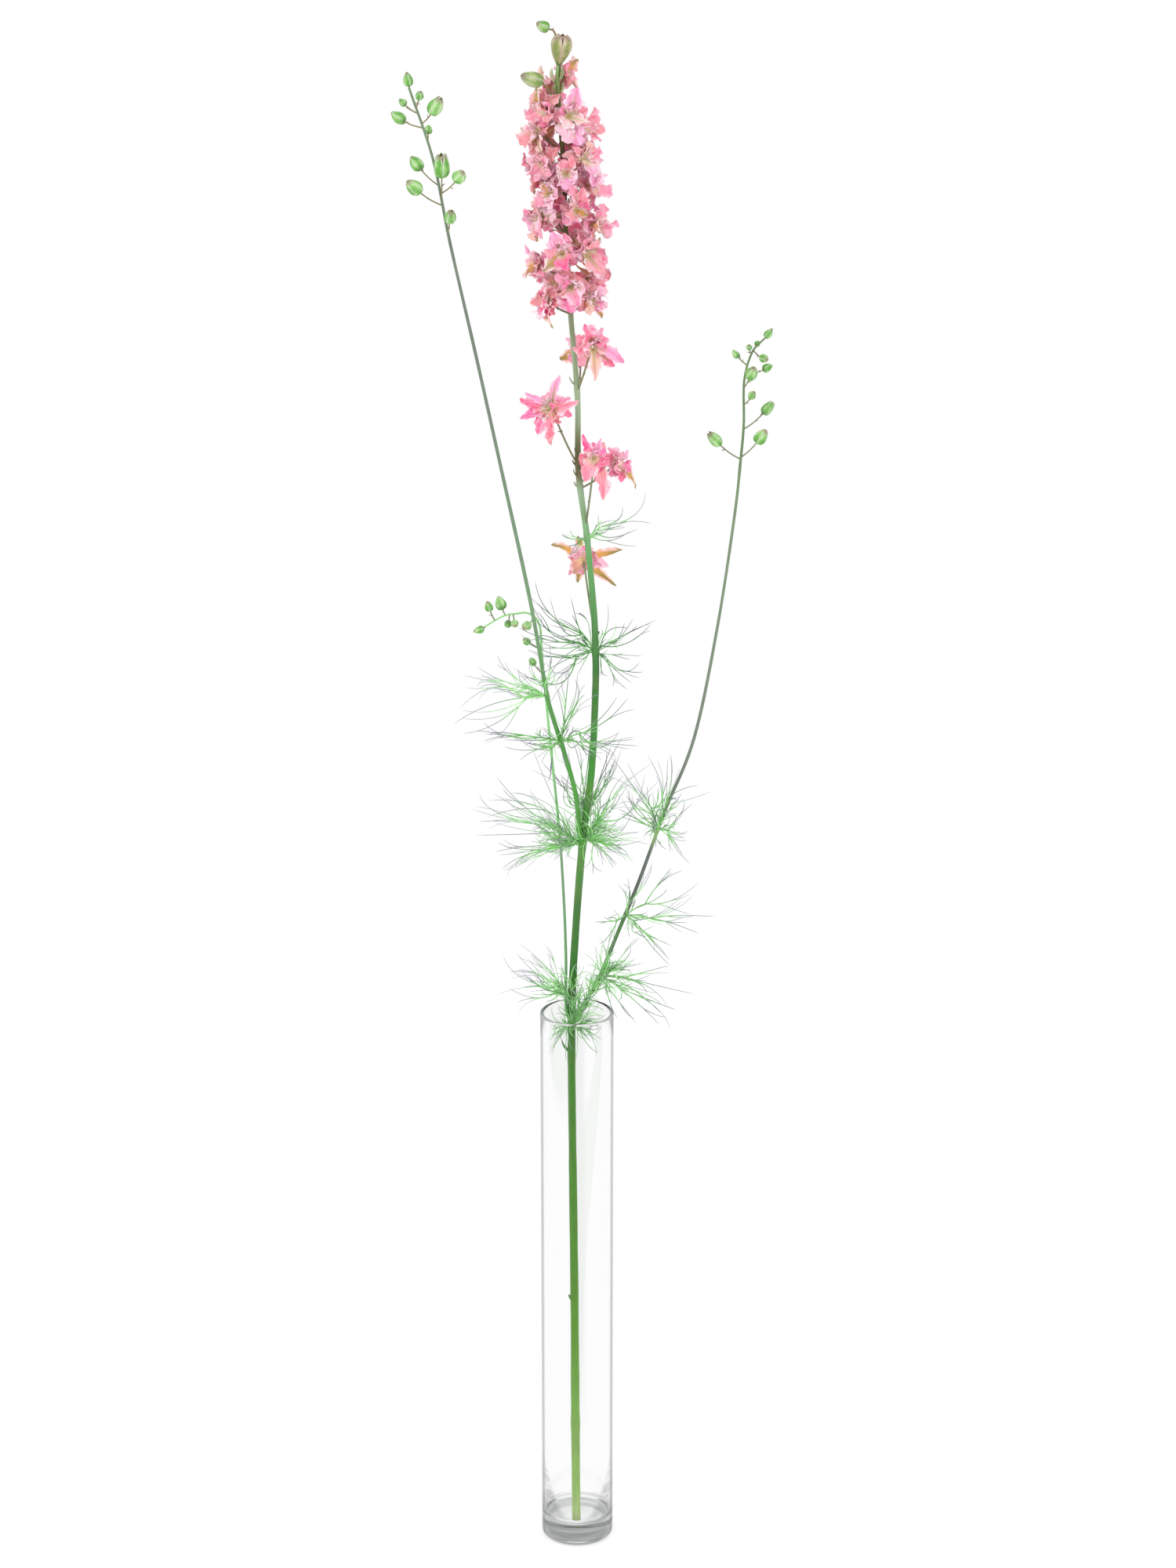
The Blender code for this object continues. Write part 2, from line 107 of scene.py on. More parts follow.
def add(tree, kind, inputs=None, **settings):
    node = tree.nodes.new("ShaderNode" + kind)
    for name, value in settings.items():
        setattr(node, name, value)
    for key, value in (inputs or {}).items():
        put(tree, node, key, value)
    return node


def calc(tree, operation, a, b=0.0, clamp=False):
    return add(tree, "Math", {0: a, 1: b}, operation=operation, use_clamp=clamp).outputs[0]


def times(tree, value, *others):
    """The product of several masks."""
    for other in others:
        value = calc(tree, "MULTIPLY", value, other)
    return value


def remap(tree, value, low, high):
    """0 at low, 1 at high, and smooth in between."""
    made = add(tree, "MapRange", {"Value": value, "From Min": low, "From Max": high},
               interpolation_type="SMOOTHSTEP")
    return made.outputs["Result"]


def fall(tree, value, low, high):
    """1 at low, 0 at high, and smooth in between."""
    return calc(tree, "SUBTRACT", 1.0, remap(tree, value, low, high))


def xyz(tree, coordinates):
    """The X, Y and Z of a kind of texture coordinates."""
    return add(tree, "SeparateXYZ", {0: add(tree, "TexCoord").outputs[coordinates]}).outputs


def noise(tree, vector, scale, detail, **more):
    return add(tree, "TexNoise", {"Vector": vector, "Scale": scale, "Detail": detail, **more}).outputs["Fac"]


print("helpers:", [helper.__name__ for helper in (put, add, calc, times, remap, fall, xyz, noise)])

# %% Colour helpers
def blend(tree, factor, a, b, how="MIX"):
    return add(tree, "Mix", {0: factor, 6: a, 7: b}, data_type="RGBA", blend_type=how).outputs[2]


def stain(tree, colour, mask, share, other):
    """Mixes another colour into a first one where a mask shows, up to a share."""
    return blend(tree, calc(tree, "MULTIPLY", mask, share, clamp=True), colour, other)


def grey(level):
    return level, level, level, 1.0


def paint(red, green, blue):
    """A colour of a 0 to 255 swatch, as the linear values that shaders use."""
    shares = [value / 255 for value in (red, green, blue)]
    return (*(s / 12.92 if s <= 0.04045 else ((s + 0.055) / 1.055) ** 2.4 for s in shares), 1.0)


WHITE = grey(1.0)
print("white is", paint(255, 255, 255))

# %% [markdown]
# ## The stage
# Glass in a studio needs a bright ground and a few darker parts round it. It shows the ground straight
# through itself. Its rim and thick base catch the grey ceiling, which draws their outline. A grey card
# straight in front keeps white reflections off the stem inside the vase. These greys are only there for
# what the eye sees in gloss and through glass. The plain light that falls on the plant is the same from
# everywhere.
#
# The floor is a pale matte surface that also shines a little for the eye, so that it reads as white and still
# keeps the shadow of the vase.

# %% What the eye sees
def seen_rays(tree):
    """1 for rays that the eye sees in any way, and 1 for those that reach it in gloss or through glass.

    Light that has been scattered on the way, by a matt skin or through a thin sepal, is neither."""
    path = add(tree, "LightPath").outputs
    bent = calc(tree, "MAXIMUM", path["Is Glossy Ray"], path["Is Transmission Ray"])
    scattered = calc(tree, "ADD", path["Is Diffuse Ray"], path["Diffuse Depth"], clamp=True)
    bent = times(tree, bent, calc(tree, "SUBTRACT", 1.0, scattered))
    return calc(tree, "MAXIMUM", path["Is Camera Ray"], bent), bent


FRONT_GREY = 0.30
FRONT_NARROW, FRONT_WIDE = 0.25, 0.60  # sideways slope of a ray, from the vase


def front_card(tree, ahead, sideways_slope, bent):
    """1 where the grey card straight in front of the vase shows in gloss and glass."""
    return times(tree, ahead, bent, fall(tree, sideways_slope, FRONT_NARROW, FRONT_WIDE))


print("the card in front shows as", FRONT_GREY)

# %% World
AMBIENT = 1.11
CEILING = 0.50
CEILING_STARTS, CEILING_FULL = 0.05, 0.45  # upward slope of a ray
CARD_STARTS, CARD_FULL = -0.10, -0.40  # forward slope of a ray

world = bpy.data.worlds.new("studio")
bpy.context.scene.world = world
world.use_nodes = True
tree = world.node_tree
seen, bent = seen_rays(tree)
way = xyz(tree, "Generated")
above = times(tree, remap(tree, way["Z"], CEILING_STARTS, CEILING_FULL), bent)
shown = blend(tree, above, WHITE, grey(CEILING))
ahead = remap(tree, way["Y"], CARD_STARTS, CARD_FULL)
front = front_card(tree, ahead, calc(tree, "ABSOLUTE", way["X"]), bent)
shown = blend(tree, front, shown, grey(FRONT_GREY))
put(tree, tree.nodes["Background"], "Color", blend(tree, seen, grey(AMBIENT), shown))
print("plain light of", AMBIENT, "comes from everywhere")

# %% Floor
FLOOR_SIZE = 40.0
FLOOR_PAINT = 0.93
FLOOR_GLOW = 0.60  # near the vase, where its shadow has to show
GLOW_GROWS, GLOW_FULL = 0.3, 1.4  # metres from the vase
CARD_NEAR, CARD_FAR = -0.06, -0.30  # metres in front of the vase

floor_mesh = bpy.data.meshes.new("floor")
half = FLOOR_SIZE / 2
corners = [(-half, -half, 0), (half, -half, 0), (half, half, 0), (-half, half, 0)]
floor_mesh.from_pydata(corners, [], [(0, 1, 2, 3)])
floor = bpy.data.objects.new("floor", floor_mesh)
bpy.context.scene.collection.objects.link(floor)

pale = bpy.data.materials.new("pale_floor")
pale.use_nodes = True
tree = pale.node_tree
tree.nodes.clear()
seen, bent = seen_rays(tree)
away = add(tree, "VectorMath", {0: add(tree, "TexCoord").outputs["Object"]}, operation="LENGTH").outputs[1]
shaded = times(tree, fall(tree, away, GLOW_GROWS, GLOW_FULL), 1.0 - FLOOR_GLOW)
glow = times(tree, calc(tree, "SUBTRACT", 1.0, shaded), seen)
glow = calc(tree, "MAXIMUM", glow, bent)
spot = xyz(tree, "Object")
slope = calc(tree, "DIVIDE", calc(tree, "ABSOLUTE", spot["X"]), calc(tree, "MAXIMUM", away, 0.01))
front = front_card(tree, remap(tree, spot["Y"], CARD_NEAR, CARD_FAR), slope, bent)
ground = blend(tree, front, WHITE, grey(FRONT_GREY))
matte = add(tree, "BsdfDiffuse", {"Color": grey(FLOOR_PAINT)}).outputs[0]
shine = add(tree, "Emission", {"Color": ground, "Strength": 1.0}).outputs[0]
mixed = add(tree, "MixShader", {0: glow, 1: matte, 2: shine}).outputs[0]
add(tree, "OutputMaterial", {"Surface": mixed})
floor_mesh.materials.append(pale)
print("the floor is", FLOOR_SIZE, "m wide")

# %% [markdown]
# ## The lamps
# Three large soft lamps give the plant its shape: a key from the left, a weaker fill from the right and one
# from behind. Gloss and glass don't show them, so the vase has no square highlights.

# %% Lamps
def lamp(name, place, size, watts):
    """A square soft lamp that points at the middle of the plant."""
    light = bpy.data.lights.new(name, "AREA")
    light.energy = watts
    light.size = size
    made = bpy.data.objects.new(name, light)
    made.location = place
    towards = (cad_low + cad_high) / 2 - made.location
    made.rotation_euler = towards.to_track_quat("-Z", "Y").to_euler()
    made.visible_glossy = False
    made.visible_transmission = False
    bpy.context.scene.collection.objects.link(made)
    return made


lamp("key", (-1.3, -1.5, 1.9), 1.0, 20)
lamp("fill", (1.5, -1.3, 1.2), 1.2, 10)
lamp("rear", (0.5, 1.6, 1.6), 1.0, 10)

# %% [markdown]
# ## Lines, tubes and sheets
# Everything that grew here is either a tapering tube (stems, stalks, leaf threads, stamens) or a thin sheet
# (sepals, petals). Curve objects with a bevel could draw the tubes too, but a mesh can also keep values at
# its points. Tube and sheet are both grids of points, so one collector can hold a whole flower. With each
# point it keeps the values that the materials read later: how far `along` the part it lies, how far
# `across`, and the part's own `tone`, `warm` and `streak`.

# %% The collector
class Shape:
    """Points and faces of one piece, with the values that its materials read at each point."""

    VALUES = ("along", "across", "tone", "warm", "streak")

    def __init__(self):
        self.points, self.faces, self.slots = [], [], []
        self.values = {name: [] for name in self.VALUES}
        self.total = 0

    def keep(self, points, faces, slots, **values):
        flat = points.reshape(-1, 3)
        self.points.append(flat)
        self.faces += [[corner + self.total for corner in face] for face in faces]
        self.slots += slots
        for name in self.VALUES:
            wide = np.broadcast_to(values.get(name, 0.5), points.shape[:-1])
            self.values[name].append(wide.reshape(-1))
        self.total += len(flat)


print("each point keeps", Shape.VALUES)

# %% Tubes
def grid_faces(rows, columns, closed=False):
    """Quads between the points of a grid. A closed grid joins its last column to its first."""
    index = np.arange(rows * columns).reshape(rows, columns)
    index = np.hstack([index, index[:, :1]]) if closed else index
    corners = index[:-1, :-1], index[:-1, 1:], index[1:, 1:], index[1:, :-1]
    return np.stack(corners, -1).reshape(-1, 4)


def unit(vectors):
    """The same directions with length 1."""
    return vectors / np.maximum(np.linalg.norm(vectors, axis=-1, keepdims=True), 1e-12)


def tube(shape, line, radii, sides=5, slot=0, along=(0.0, 1.0), ribs=None, **values):
    """A closed tube along a line. Its cross-section is turned as little as possible on the way."""
    line, radii = np.asarray(line, float), np.asarray(radii, float)
    ahead = unit(np.gradient(line, axis=0))
    side = np.cross(ahead[0], (0.3, 0.5, 0.8))
    sides_on = []
    for direction in ahead:
        side = unit(side - direction * direction.dot(side))
        sides_on.append(side)
    sides_on = np.array(sides_on)[:, None]
    across_on = np.cross(ahead, sides_on[:, 0])[:, None]
    turn = np.linspace(0, math.tau, sides, endpoint=False)
    reach = radii[:, None] * (1 if ribs is None else ribs)
    ring = np.cos(turn)[None, :, None] * sides_on + np.sin(turn)[None, :, None] * across_on
    points = line[:, None] + reach[..., None] * ring
    faces = grid_faces(len(line), sides, closed=True).tolist()
    faces += [list(range(sides))[::-1], list(range(len(line) * sides - sides, len(line) * sides))]
    values["along"] = np.linspace(*along, len(line))[:, None]
    values.setdefault("across", np.abs(np.linspace(-1, 1, sides))[None, :])
    shape.keep(points, faces, [slot] * len(faces), **values)


print("a tube of 10 points with 5 sides has", len(grid_faces(10, 5, closed=True)), "faces and two caps")

# %% Sheets
def sheet(shape, middle, thickness, slots=(0, 1), **values):
    """A thin closed sheet round a grid of points: its front, its back and the edge between them."""
    rows, columns = middle.shape[:2]
    normal = unit(np.cross(np.gradient(middle, axis=0), np.gradient(middle, axis=1)))
    offset = normal * np.broadcast_to(thickness, middle.shape[:2])[..., None] / 2
    points = np.stack([middle + offset, middle - offset])
    quads = grid_faces(rows, columns)
    total = rows * columns
    index = np.arange(total).reshape(rows, columns)
    loop = np.concatenate([index[0, :-1], index[:-1, -1], index[-1, :0:-1], index[:0:-1, 0]])
    after = np.roll(loop, -1)
    rim = np.stack([loop, after, after + total, loop + total], -1)
    faces = quads[:, ::-1].tolist() + (quads + total).tolist() + rim.tolist()
    front, back = slots
    kinds = [front] * len(quads) + [back] * len(quads) + [front] * len(rim)
    values = {name: np.broadcast_to(value, middle.shape[:2]) for name, value in values.items()}
    shape.keep(points, faces, kinds, **{name: np.stack([v, v]) for name, v in values.items()})


print("a sheet of 17 by 11 points has", 2 * len(grid_faces(17, 11)), "faces on its two sides")

# %% Pieces
def piece(name, shape, finishes, node):
    """Makes the object of a collected shape. It rides on the root and stands for its node of the frame."""
    mesh = bpy.data.meshes.new(name)
    mesh.from_pydata(np.concatenate(shape.points).tolist(), [], shape.faces)
    mesh.shade_smooth()
    mesh.polygons.foreach_set("material_index", shape.slots)
    for value, parts in shape.values.items():
        kept = mesh.attributes.new(value, "FLOAT", "POINT")
        kept.data.foreach_set("value", np.concatenate(parts).astype(np.float32))
    for finish in finishes:
        mesh.materials.append(finish)
    made = bpy.data.objects.new(name, mesh)
    bpy.context.scene.collection.objects.link(made)
    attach(made, "root")
    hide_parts(node)
    return made


print("every piece rides on root")

# %% [markdown]
# ## Lines that bend
# Nothing here is straight. Stems follow a smooth line through a few listed points, stalks and rays are simple
# bows, and the finest threads set out one way and turn more and more.

# %% Smooth lines
def smooth_line(knots, steps):
    """A smooth line through points in millimetres: each span bends with its neighbours."""
    knots = np.array(knots, float) * MM
    padded = np.vstack([2 * knots[0] - knots[1], knots, 2 * knots[-1] - knots[-2]])
    t = np.linspace(0, 1, steps, endpoint=False)[:, None]
    spans = []
    for before, start, end, after in zip(padded, padded[1:], padded[2:], padded[3:]):
        bend = 2 * before - 5 * start + 4 * end - after
        swing = 3 * start - before - 3 * end + after
        spans.append(start + (t * (end - before) + t**2 * bend + t**3 * swing) / 2)
    return np.vstack([*spans, knots[-1:]])


def curve(start, knee, end, steps):
    """A line from start to end that bends towards knee."""
    t = np.linspace(0, 1, steps + 1)[:, None]
    return start * (1 - t) ** 2 + 2 * knee * t * (1 - t) + end * t**2


def bow(start, end, sag, steps=6):
    """A line from start to end whose middle is pulled aside by sag."""
    return curve(start, (start + end) / 2 + 2 * sag, end, steps)


print("a bow of 6 steps has", len(bow(np.zeros(3), np.ones(3), np.zeros(3))), "points")

# %% Directions
UP = np.array([0.0, 0.0, 1.0])


def outward(azimuth):
    """The level direction at an azimuth in degrees, from the front, + to the right."""
    angle = math.radians(azimuth)
    return np.array([math.sin(angle), -math.cos(angle), 0.0])


def sideways(direction, rng, spread):
    """A direction that leaves another one at an angle of spread, on a random side."""
    across = unit(np.cross(direction, rng.standard_normal(3)))
    return direction * math.cos(spread) + across * math.sin(spread)


def axes_of(direction, roll=0.0):
    """Two directions square to one direction: to its right and up from it, turned by a roll in radians."""
    direction = unit(direction)
    side = np.cross(direction, UP)
    side = unit(side) if np.linalg.norm(side) > 0.05 else np.array([1.0, 0.0, 0.0])
    rise = np.cross(side, direction)
    return side * math.cos(roll) + rise * math.sin(roll), rise * math.cos(roll) - side * math.sin(roll)


print("straight to the front is", outward(0))

# %% [markdown]
# ## Clear glass
# The vase is one piece of thick clear glass. A cylinder is turned from its half outline, with a rounded foot
# that stands on a ring, a fire-rounded lip and a soft corner inside. A Screw modifier could turn it as well.
# Here the rings of points are worked out at once, so the mesh needs no modifier. It is made of many more
# faces than the solid in the frame, because every flat face in glass shows as a streak.
#
# Glass is nearly colourless. The greys in its colour are painted shade, which stands for the dark outline
# that bent light draws in clear glass. Layer Weight finds shallow angles on the outer wall, where painted
# shade draws the two side lines. The thick base gets painted shade in uneven streaks, and above it the
# painted shade climbs the sides in two wedges and fades. Light that has bounced inside many times partly
# goes straight on, because the rim would turn black without it.

# %% Glass finish
def material(name):
    """A material with its tree, its main shader and its output node."""
    made = bpy.data.materials.new(name)
    made.use_nodes = True
    tree = made.node_tree
    return made, tree, tree.nodes["Principled BSDF"], tree.nodes["Material Output"]


clear_glass, tree, shader, output = material("clear_glass")
shader.inputs["Transmission Weight"].default_value = 1.0
shader.inputs["Roughness"].default_value = 0.0
shader.inputs["IOR"].default_value = 1.5
absorb = add(tree, "VolumeAbsorption", {"Color": (0.60, 0.66, 0.66, 1), "Density": 12.0})
tree.links.new(absorb.outputs[0], output.inputs["Volume"])
print("glass bends light with an index of", shader.inputs["IOR"].default_value)

# %% Painted shade in the glass
# Each mask runs from its first value to its second. Heights and distances from the axis ("out") are in
# metres. Grazing goes from 0 where the glass is seen square on to 1 at its outline.
# The greys below are painted shade, multiplied into the colour of the glass: side lines, base, foot, wedges.
OUTER_WALL = 0.0185, 0.0195  # out
EDGE_PAINTED_SHADE = 0.26
EDGE_GROWS, EDGE_FADES = (0.58, 0.70), (0.82, 0.95)  # grazing
BASE_PAINTED_SHADE = 0.60
BASE_TOP, BASE_OUT, BASE_STREAKS = (0.009, 0.012), (0.014, 0.018), (0.44, 0.58)
FOOT_PAINTED_SHADE = 0.46
FOOT_TOP, FOOT_OUT = (0.0006, 0.0026), (0.014, 0.017)
WEDGE_PAINTED_SHADE = 0.48
WEDGE_BOTTOM, WEDGE_TOP, WEDGE_STREAKS = (0.011, 0.013), (0.040, 0.056), (0.40, 0.60)
WEDGE_CORNER, WEDGE_SLOPE = 0.014, 14.0  # height of its lowest corner, and how fast it narrows above
WEDGE_WIDTH, WEDGE_SOFT, WEDGE_LEAST = 0.05, 0.12, 0.4
STREAK_SCALE = 22, 22, 260

grazing = add(tree, "LayerWeight", {"Blend": 0.5}).outputs["Facing"]
place = add(tree, "TexCoord").outputs["Object"]
height = add(tree, "SeparateXYZ", {0: place}).outputs["Z"]
level = add(tree, "VectorMath", {0: place, 1: (1, 1, 0)}, operation="MULTIPLY").outputs[0]
out = add(tree, "VectorMath", {0: level}, operation="LENGTH").outputs["Value"]
outer = remap(tree, out, *OUTER_WALL)
# noise that breaks the painted shade of the base and the wedges into streaks
drawn = add(tree, "Mapping", {"Vector": place, "Scale": STREAK_SCALE}).outputs[0]
streak = noise(tree, drawn, 1.0, 2.0, Distortion=1.5)

# painted shade of the two side lines, where the outer wall is seen at a shallow angle
edge = times(tree, remap(tree, grazing, *EDGE_GROWS), fall(tree, grazing, *EDGE_FADES), outer)
# painted shade in the thick base, in uneven streaks
base_shade_mask = times(tree, fall(tree, height, *BASE_TOP), remap(tree, out, *BASE_OUT),
              remap(tree, streak, *BASE_STREAKS))
# painted shade along the bottom outline of the foot
foot = times(tree, fall(tree, height, *FOOT_TOP), remap(tree, out, *FOOT_OUT))
# painted shade that climbs the lower sides in two streaky wedges and fades
narrowing = times(tree, calc(tree, "SUBTRACT", height, WEDGE_CORNER), WEDGE_SLOPE)
wedge_shade_mask = calc(tree, "SUBTRACT", calc(tree, "SUBTRACT", grazing, WEDGE_WIDTH), narrowing)
streaky = calc(tree, "ADD", WEDGE_LEAST, remap(tree, streak, *WEDGE_STREAKS), clamp=True)
wedge_shade_mask = times(tree, remap(tree, wedge_shade_mask, 0.0, WEDGE_SOFT), outer, fall(tree, height, *WEDGE_TOP),
              remap(tree, height, *WEDGE_BOTTOM), streaky)
# The painted shade of the side lines, the base, the foot and the wedges darkens the colour of the glass.
glass_painted_shade = blend(tree, edge, WHITE, grey(EDGE_PAINTED_SHADE))
for mask, shade in (base_shade_mask, BASE_PAINTED_SHADE), (foot, FOOT_PAINTED_SHADE), (wedge_shade_mask, WEDGE_PAINTED_SHADE):
    glass_painted_shade = blend(tree, mask, glass_painted_shade, grey(shade), "MULTIPLY")
put(tree, shader, "Base Color", glass_painted_shade)
print("the side lines are grey", EDGE_PAINTED_SHADE)

# %% Late light
MOST_BOUNCES = 5.5  # light that has bounced more often inside the glass is late
LATE_SHARE = 0.55  # the share of it that goes straight on

late = calc(tree, "GREATER_THAN", add(tree, "LightPath").outputs["Ray Depth"], MOST_BOUNCES)
straight = add(tree, "BsdfTransparent").outputs[0]
mixed = add(tree, "MixShader", {0: times(tree, late, LATE_SHARE), 1: shader.outputs[0], 2: straight})
tree.links.new(mixed.outputs[0], output.inputs["Surface"])
print("light is late after", int(MOST_BOUNCES), "bounces")

# %% The vase
VASE_WALL, VASE_BASE = 2 * MM, 12 * MM
FOOT_ROUNDING, FLOOR_ROUNDING = 3 * MM, 4 * MM
HOLLOW = 0.4 * MM  # the foot stands on a ring, and its middle is this much higher
VASE_SEGMENTS = 192

_, vase_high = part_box("vase")
vase_radius, vase_height = vase_high.x, vase_high.z


def arc(centre, radius, start, end, steps):
    """A part of a circle, from one angle in degrees to another."""
    turn = np.radians(np.linspace(start, end, steps + 1))
    return np.stack([centre[0] + radius * np.cos(turn), centre[1] + radius * np.sin(turn)], -1)


def turned(outline, segments):
    """Points and faces of a turned shape: the outline runs from pole to pole, up its outer side."""
    spin = np.linspace(0, math.tau, segments, endpoint=False)
    radius, height = outline[1:-1, 0], outline[1:-1, 1]
    level = np.outer(radius, np.cos(spin)), np.outer(radius, np.sin(spin))
    ring = np.stack([*level, np.repeat(height[:, None], segments, 1)], -1).reshape(-1, 3)
    points = np.vstack([ring, [(0, 0, outline[0, 1]), (0, 0, outline[-1, 1])]])
    faces = grid_faces(len(radius), segments, closed=True).tolist()
    first, last, final = len(ring), len(ring) + 1, len(ring) - segments
    for i in range(segments):
        j = (i + 1) % segments
        faces += [[first, j, i], [last, final + i, final + j]]
    return points, faces


print("the vase is", round(vase_height / MM), "mm tall")

# %% The vase's outline
inner = vase_radius - VASE_WALL
lip = VASE_WALL / 2
wall = np.linspace(FOOT_ROUNDING, vase_height - lip, 24)[1:-1]
inside = wall[wall > VASE_BASE + FLOOR_ROUNDING][::-1]
outline = np.vstack([
    [(0, HOLLOW), (vase_radius - 2 * FOOT_ROUNDING, HOLLOW)],
    arc((vase_radius - FOOT_ROUNDING, FOOT_ROUNDING), FOOT_ROUNDING, -90, 0, 10),
    np.stack([np.full(len(wall), vase_radius), wall], -1),
    arc((vase_radius - lip, vase_height - lip), lip, 0, 180, 14),
    np.stack([np.full(len(inside), inner), inside], -1),
    arc((inner - FLOOR_ROUNDING, VASE_BASE + FLOOR_ROUNDING), FLOOR_ROUNDING, 0, -90, 12),
    [(0, VASE_BASE)]])
print("the outline has", len(outline), "points")

# %% The vase's glass
points, faces = turned(outline, VASE_SEGMENTS)
glass = Shape()
glass.keep(points, faces, [0] * len(faces))
piece("vase_glass", glass, [clear_glass], "vase")
print("the vase has", len(faces), "faces")

# %% [markdown]
# ## Values that pattern the plant
# A sepal, a petal and a bud share one anatomy: veins that fan out from the base, a thick midrib, a thin
# margin and a firm tip. One node group finds them all from the `along` and `across` values. It gives masks
# only, and each finish colours them in its own way.

# %% Node groups
def value_of(tree, name):
    """A value that was kept at the points of a piece."""
    return add(tree, "Attribute", attribute_name=name).outputs["Fac"]


def group(name, inputs, outputs):
    """A node group with its input and output nodes."""
    made = bpy.data.node_groups.new(name, "ShaderNodeTree")
    for title, default in inputs.items():
        socket = made.interface.new_socket(title, in_out="INPUT", socket_type="NodeSocketFloat")
        socket.default_value = default
    for title in outputs:
        made.interface.new_socket(title, in_out="OUTPUT", socket_type="NodeSocketFloat")
    return made, made.nodes.new("NodeGroupInput"), made.nodes.new("NodeGroupOutput")


print("node groups so far:", len(bpy.data.node_groups))

# %% Sepal anatomy group
anatomy, given, found = group(
    "sepal_anatomy", {"Along": 0.5, "Across": 0.0, "Tone": 0.5, "Veins": 8.0, "Rib Width": 0.3},
    ["Vein", "Between", "Rib", "Margin", "Tip", "Mottle"])
tree = anatomy
given = given.outputs
off_rib = calc(tree, "ABSOLUTE", given["Across"])
fan = add(tree, "CombineXYZ", {"X": times(tree, given["Across"], given["Veins"]),
                               "Y": times(tree, given["Along"], 1.6),
                               "Z": times(tree, given["Tone"], 40.0)}).outputs[0]
stripes = noise(tree, fan, 1.0, 3.0, Roughness=0.6)
narrowing = times(tree, given["Rib Width"], calc(tree, "SUBTRACT", 1.25, given["Along"]))
blotch = noise(tree, add(tree, "TexCoord").outputs["Object"], 200.0, 4.0)
put(tree, found, "Vein", remap(tree, stripes, 0.50, 0.66))
put(tree, found, "Between", fall(tree, stripes, 0.36, 0.48))
put(tree, found, "Rib", fall(tree, off_rib, times(tree, narrowing, 0.4), times(tree, narrowing, 1.6)))
put(tree, found, "Margin", remap(tree, off_rib, 0.35, 1.0))
put(tree, found, "Tip", remap(tree, given["Along"], 0.80, 0.97))
put(tree, found, "Mottle", remap(tree, blotch, 0.40, 0.62))


def anatomy_of(tree, veins, rib_width):
    """The anatomy masks of a sheet, from the values kept at its points."""
    inputs = {title: value_of(tree, title.lower()) for title in ("Along", "Across", "Tone")}
    node = add(tree, "Group", node_tree=anatomy)
    for title, value in {**inputs, "Veins": veins, "Rib Width": rib_width}.items():
        put(tree, node, title, value)
    return node.outputs


print("group", anatomy.name, "gives", [s.name for s in anatomy.interface.items_tree if s.in_out == "OUTPUT"])

# %% [markdown]
# ## Sepals, front and back
# The pink parts of a larkspur are its sepals. The front is pink with darker veins, nearly white margins and
# a cream foot, from which a green streak runs up some midribs. The back is paler, and on the older sepals
# its midrib turns orange and ends in a firm olive tip. A dried sepal is as thin as paper, so much of the
# light comes through it: a translucent shader carries that share in the same colour. Subsurface scattering
# is the other way to let light in, but it is meant for thicker things.

# %% Thin finishes
TRANSLUCENT = 0.36


def matt(shader, roughness):
    shader.inputs["Roughness"].default_value = roughness
    shader.inputs["Specular IOR Level"].default_value = 0.3


def thin_finish(colour, tree, shader, output, height, strength, share=TRANSLUCENT):
    """Feeds a colour and a bump to the shader, and lets a share of the light through."""
    put(tree, shader, "Base Color", colour)
    matt(shader, 0.62)
    bump = add(tree, "Bump", {"Height": height, "Strength": strength, "Distance": 0.25 * MM}).outputs[0]
    put(tree, shader, "Normal", bump)
    through = add(tree, "BsdfTranslucent", {"Color": colour, "Normal": bump}).outputs[0]
    mixed = add(tree, "MixShader", {0: share, 1: shader.outputs[0], 2: through}).outputs[0]
    tree.links.new(mixed, output.inputs["Surface"])


print("a sepal lets", TRANSLUCENT, "of the light through")

# %% Sepal colours
PINK = {"pale": paint(255, 230, 238), "pink": paint(255, 174, 202), "hot": paint(248, 74, 150),
        "lilac": paint(250, 184, 230), "peach": paint(255, 212, 186), "cream": paint(246, 240, 206),
        "vein": paint(240, 104, 150), "orange": paint(242, 194, 104), "olive": paint(166, 152, 72),
        "leafy": paint(176, 190, 112), "edge": paint(254, 242, 246)}


def sepal_ground(tree, masks):
    """The pink of a sepal before its own marks: pale to hot by tone, then to lilac or peach by warmth."""
    tone, warm = value_of(tree, "tone"), value_of(tree, "warm")
    light = blend(tree, remap(tree, tone, 0.0, 0.55), PINK["pale"], PINK["pink"])
    pink = blend(tree, remap(tree, tone, 0.5, 1.0), light, PINK["hot"])
    patchy = calc(tree, "ADD", times(tree, masks["Mottle"], 0.65), 0.12)
    for mask, share, other in (
            (masks["Mottle"], 0.65, light), (warm, -0.8, PINK["lilac"]), (warm, 0.8, PINK["peach"]),
            (masks["Vein"], 0.42, PINK["vein"]), (masks["Between"], 0.45, PINK["edge"]),
            (masks["Margin"], patchy, PINK["edge"])):
        pink = stain(tree, pink, mask, share, other)
    return pink


def streaked(tree, masks, colour):
    """The cream foot, with the green streak that some sepals carry along their midrib."""
    along = value_of(tree, "along")
    colour = stain(tree, colour, fall(tree, along, 0.05, 0.42), 0.9, PINK["cream"])
    green = times(tree, masks["Rib"], fall(tree, along, 0.45, 0.98), value_of(tree, "streak"))
    return stain(tree, colour, green, 0.75, PINK["leafy"])


print("sepal colours:", list(PINK))

# %% Sepal finishes
sepal_front, tree, shader, output = material("sepal_front")
masks = anatomy_of(tree, 7.0, 0.22)
colour = streaked(tree, masks, sepal_ground(tree, masks))
thin_finish(colour, tree, shader, output, masks["Vein"], 0.5)

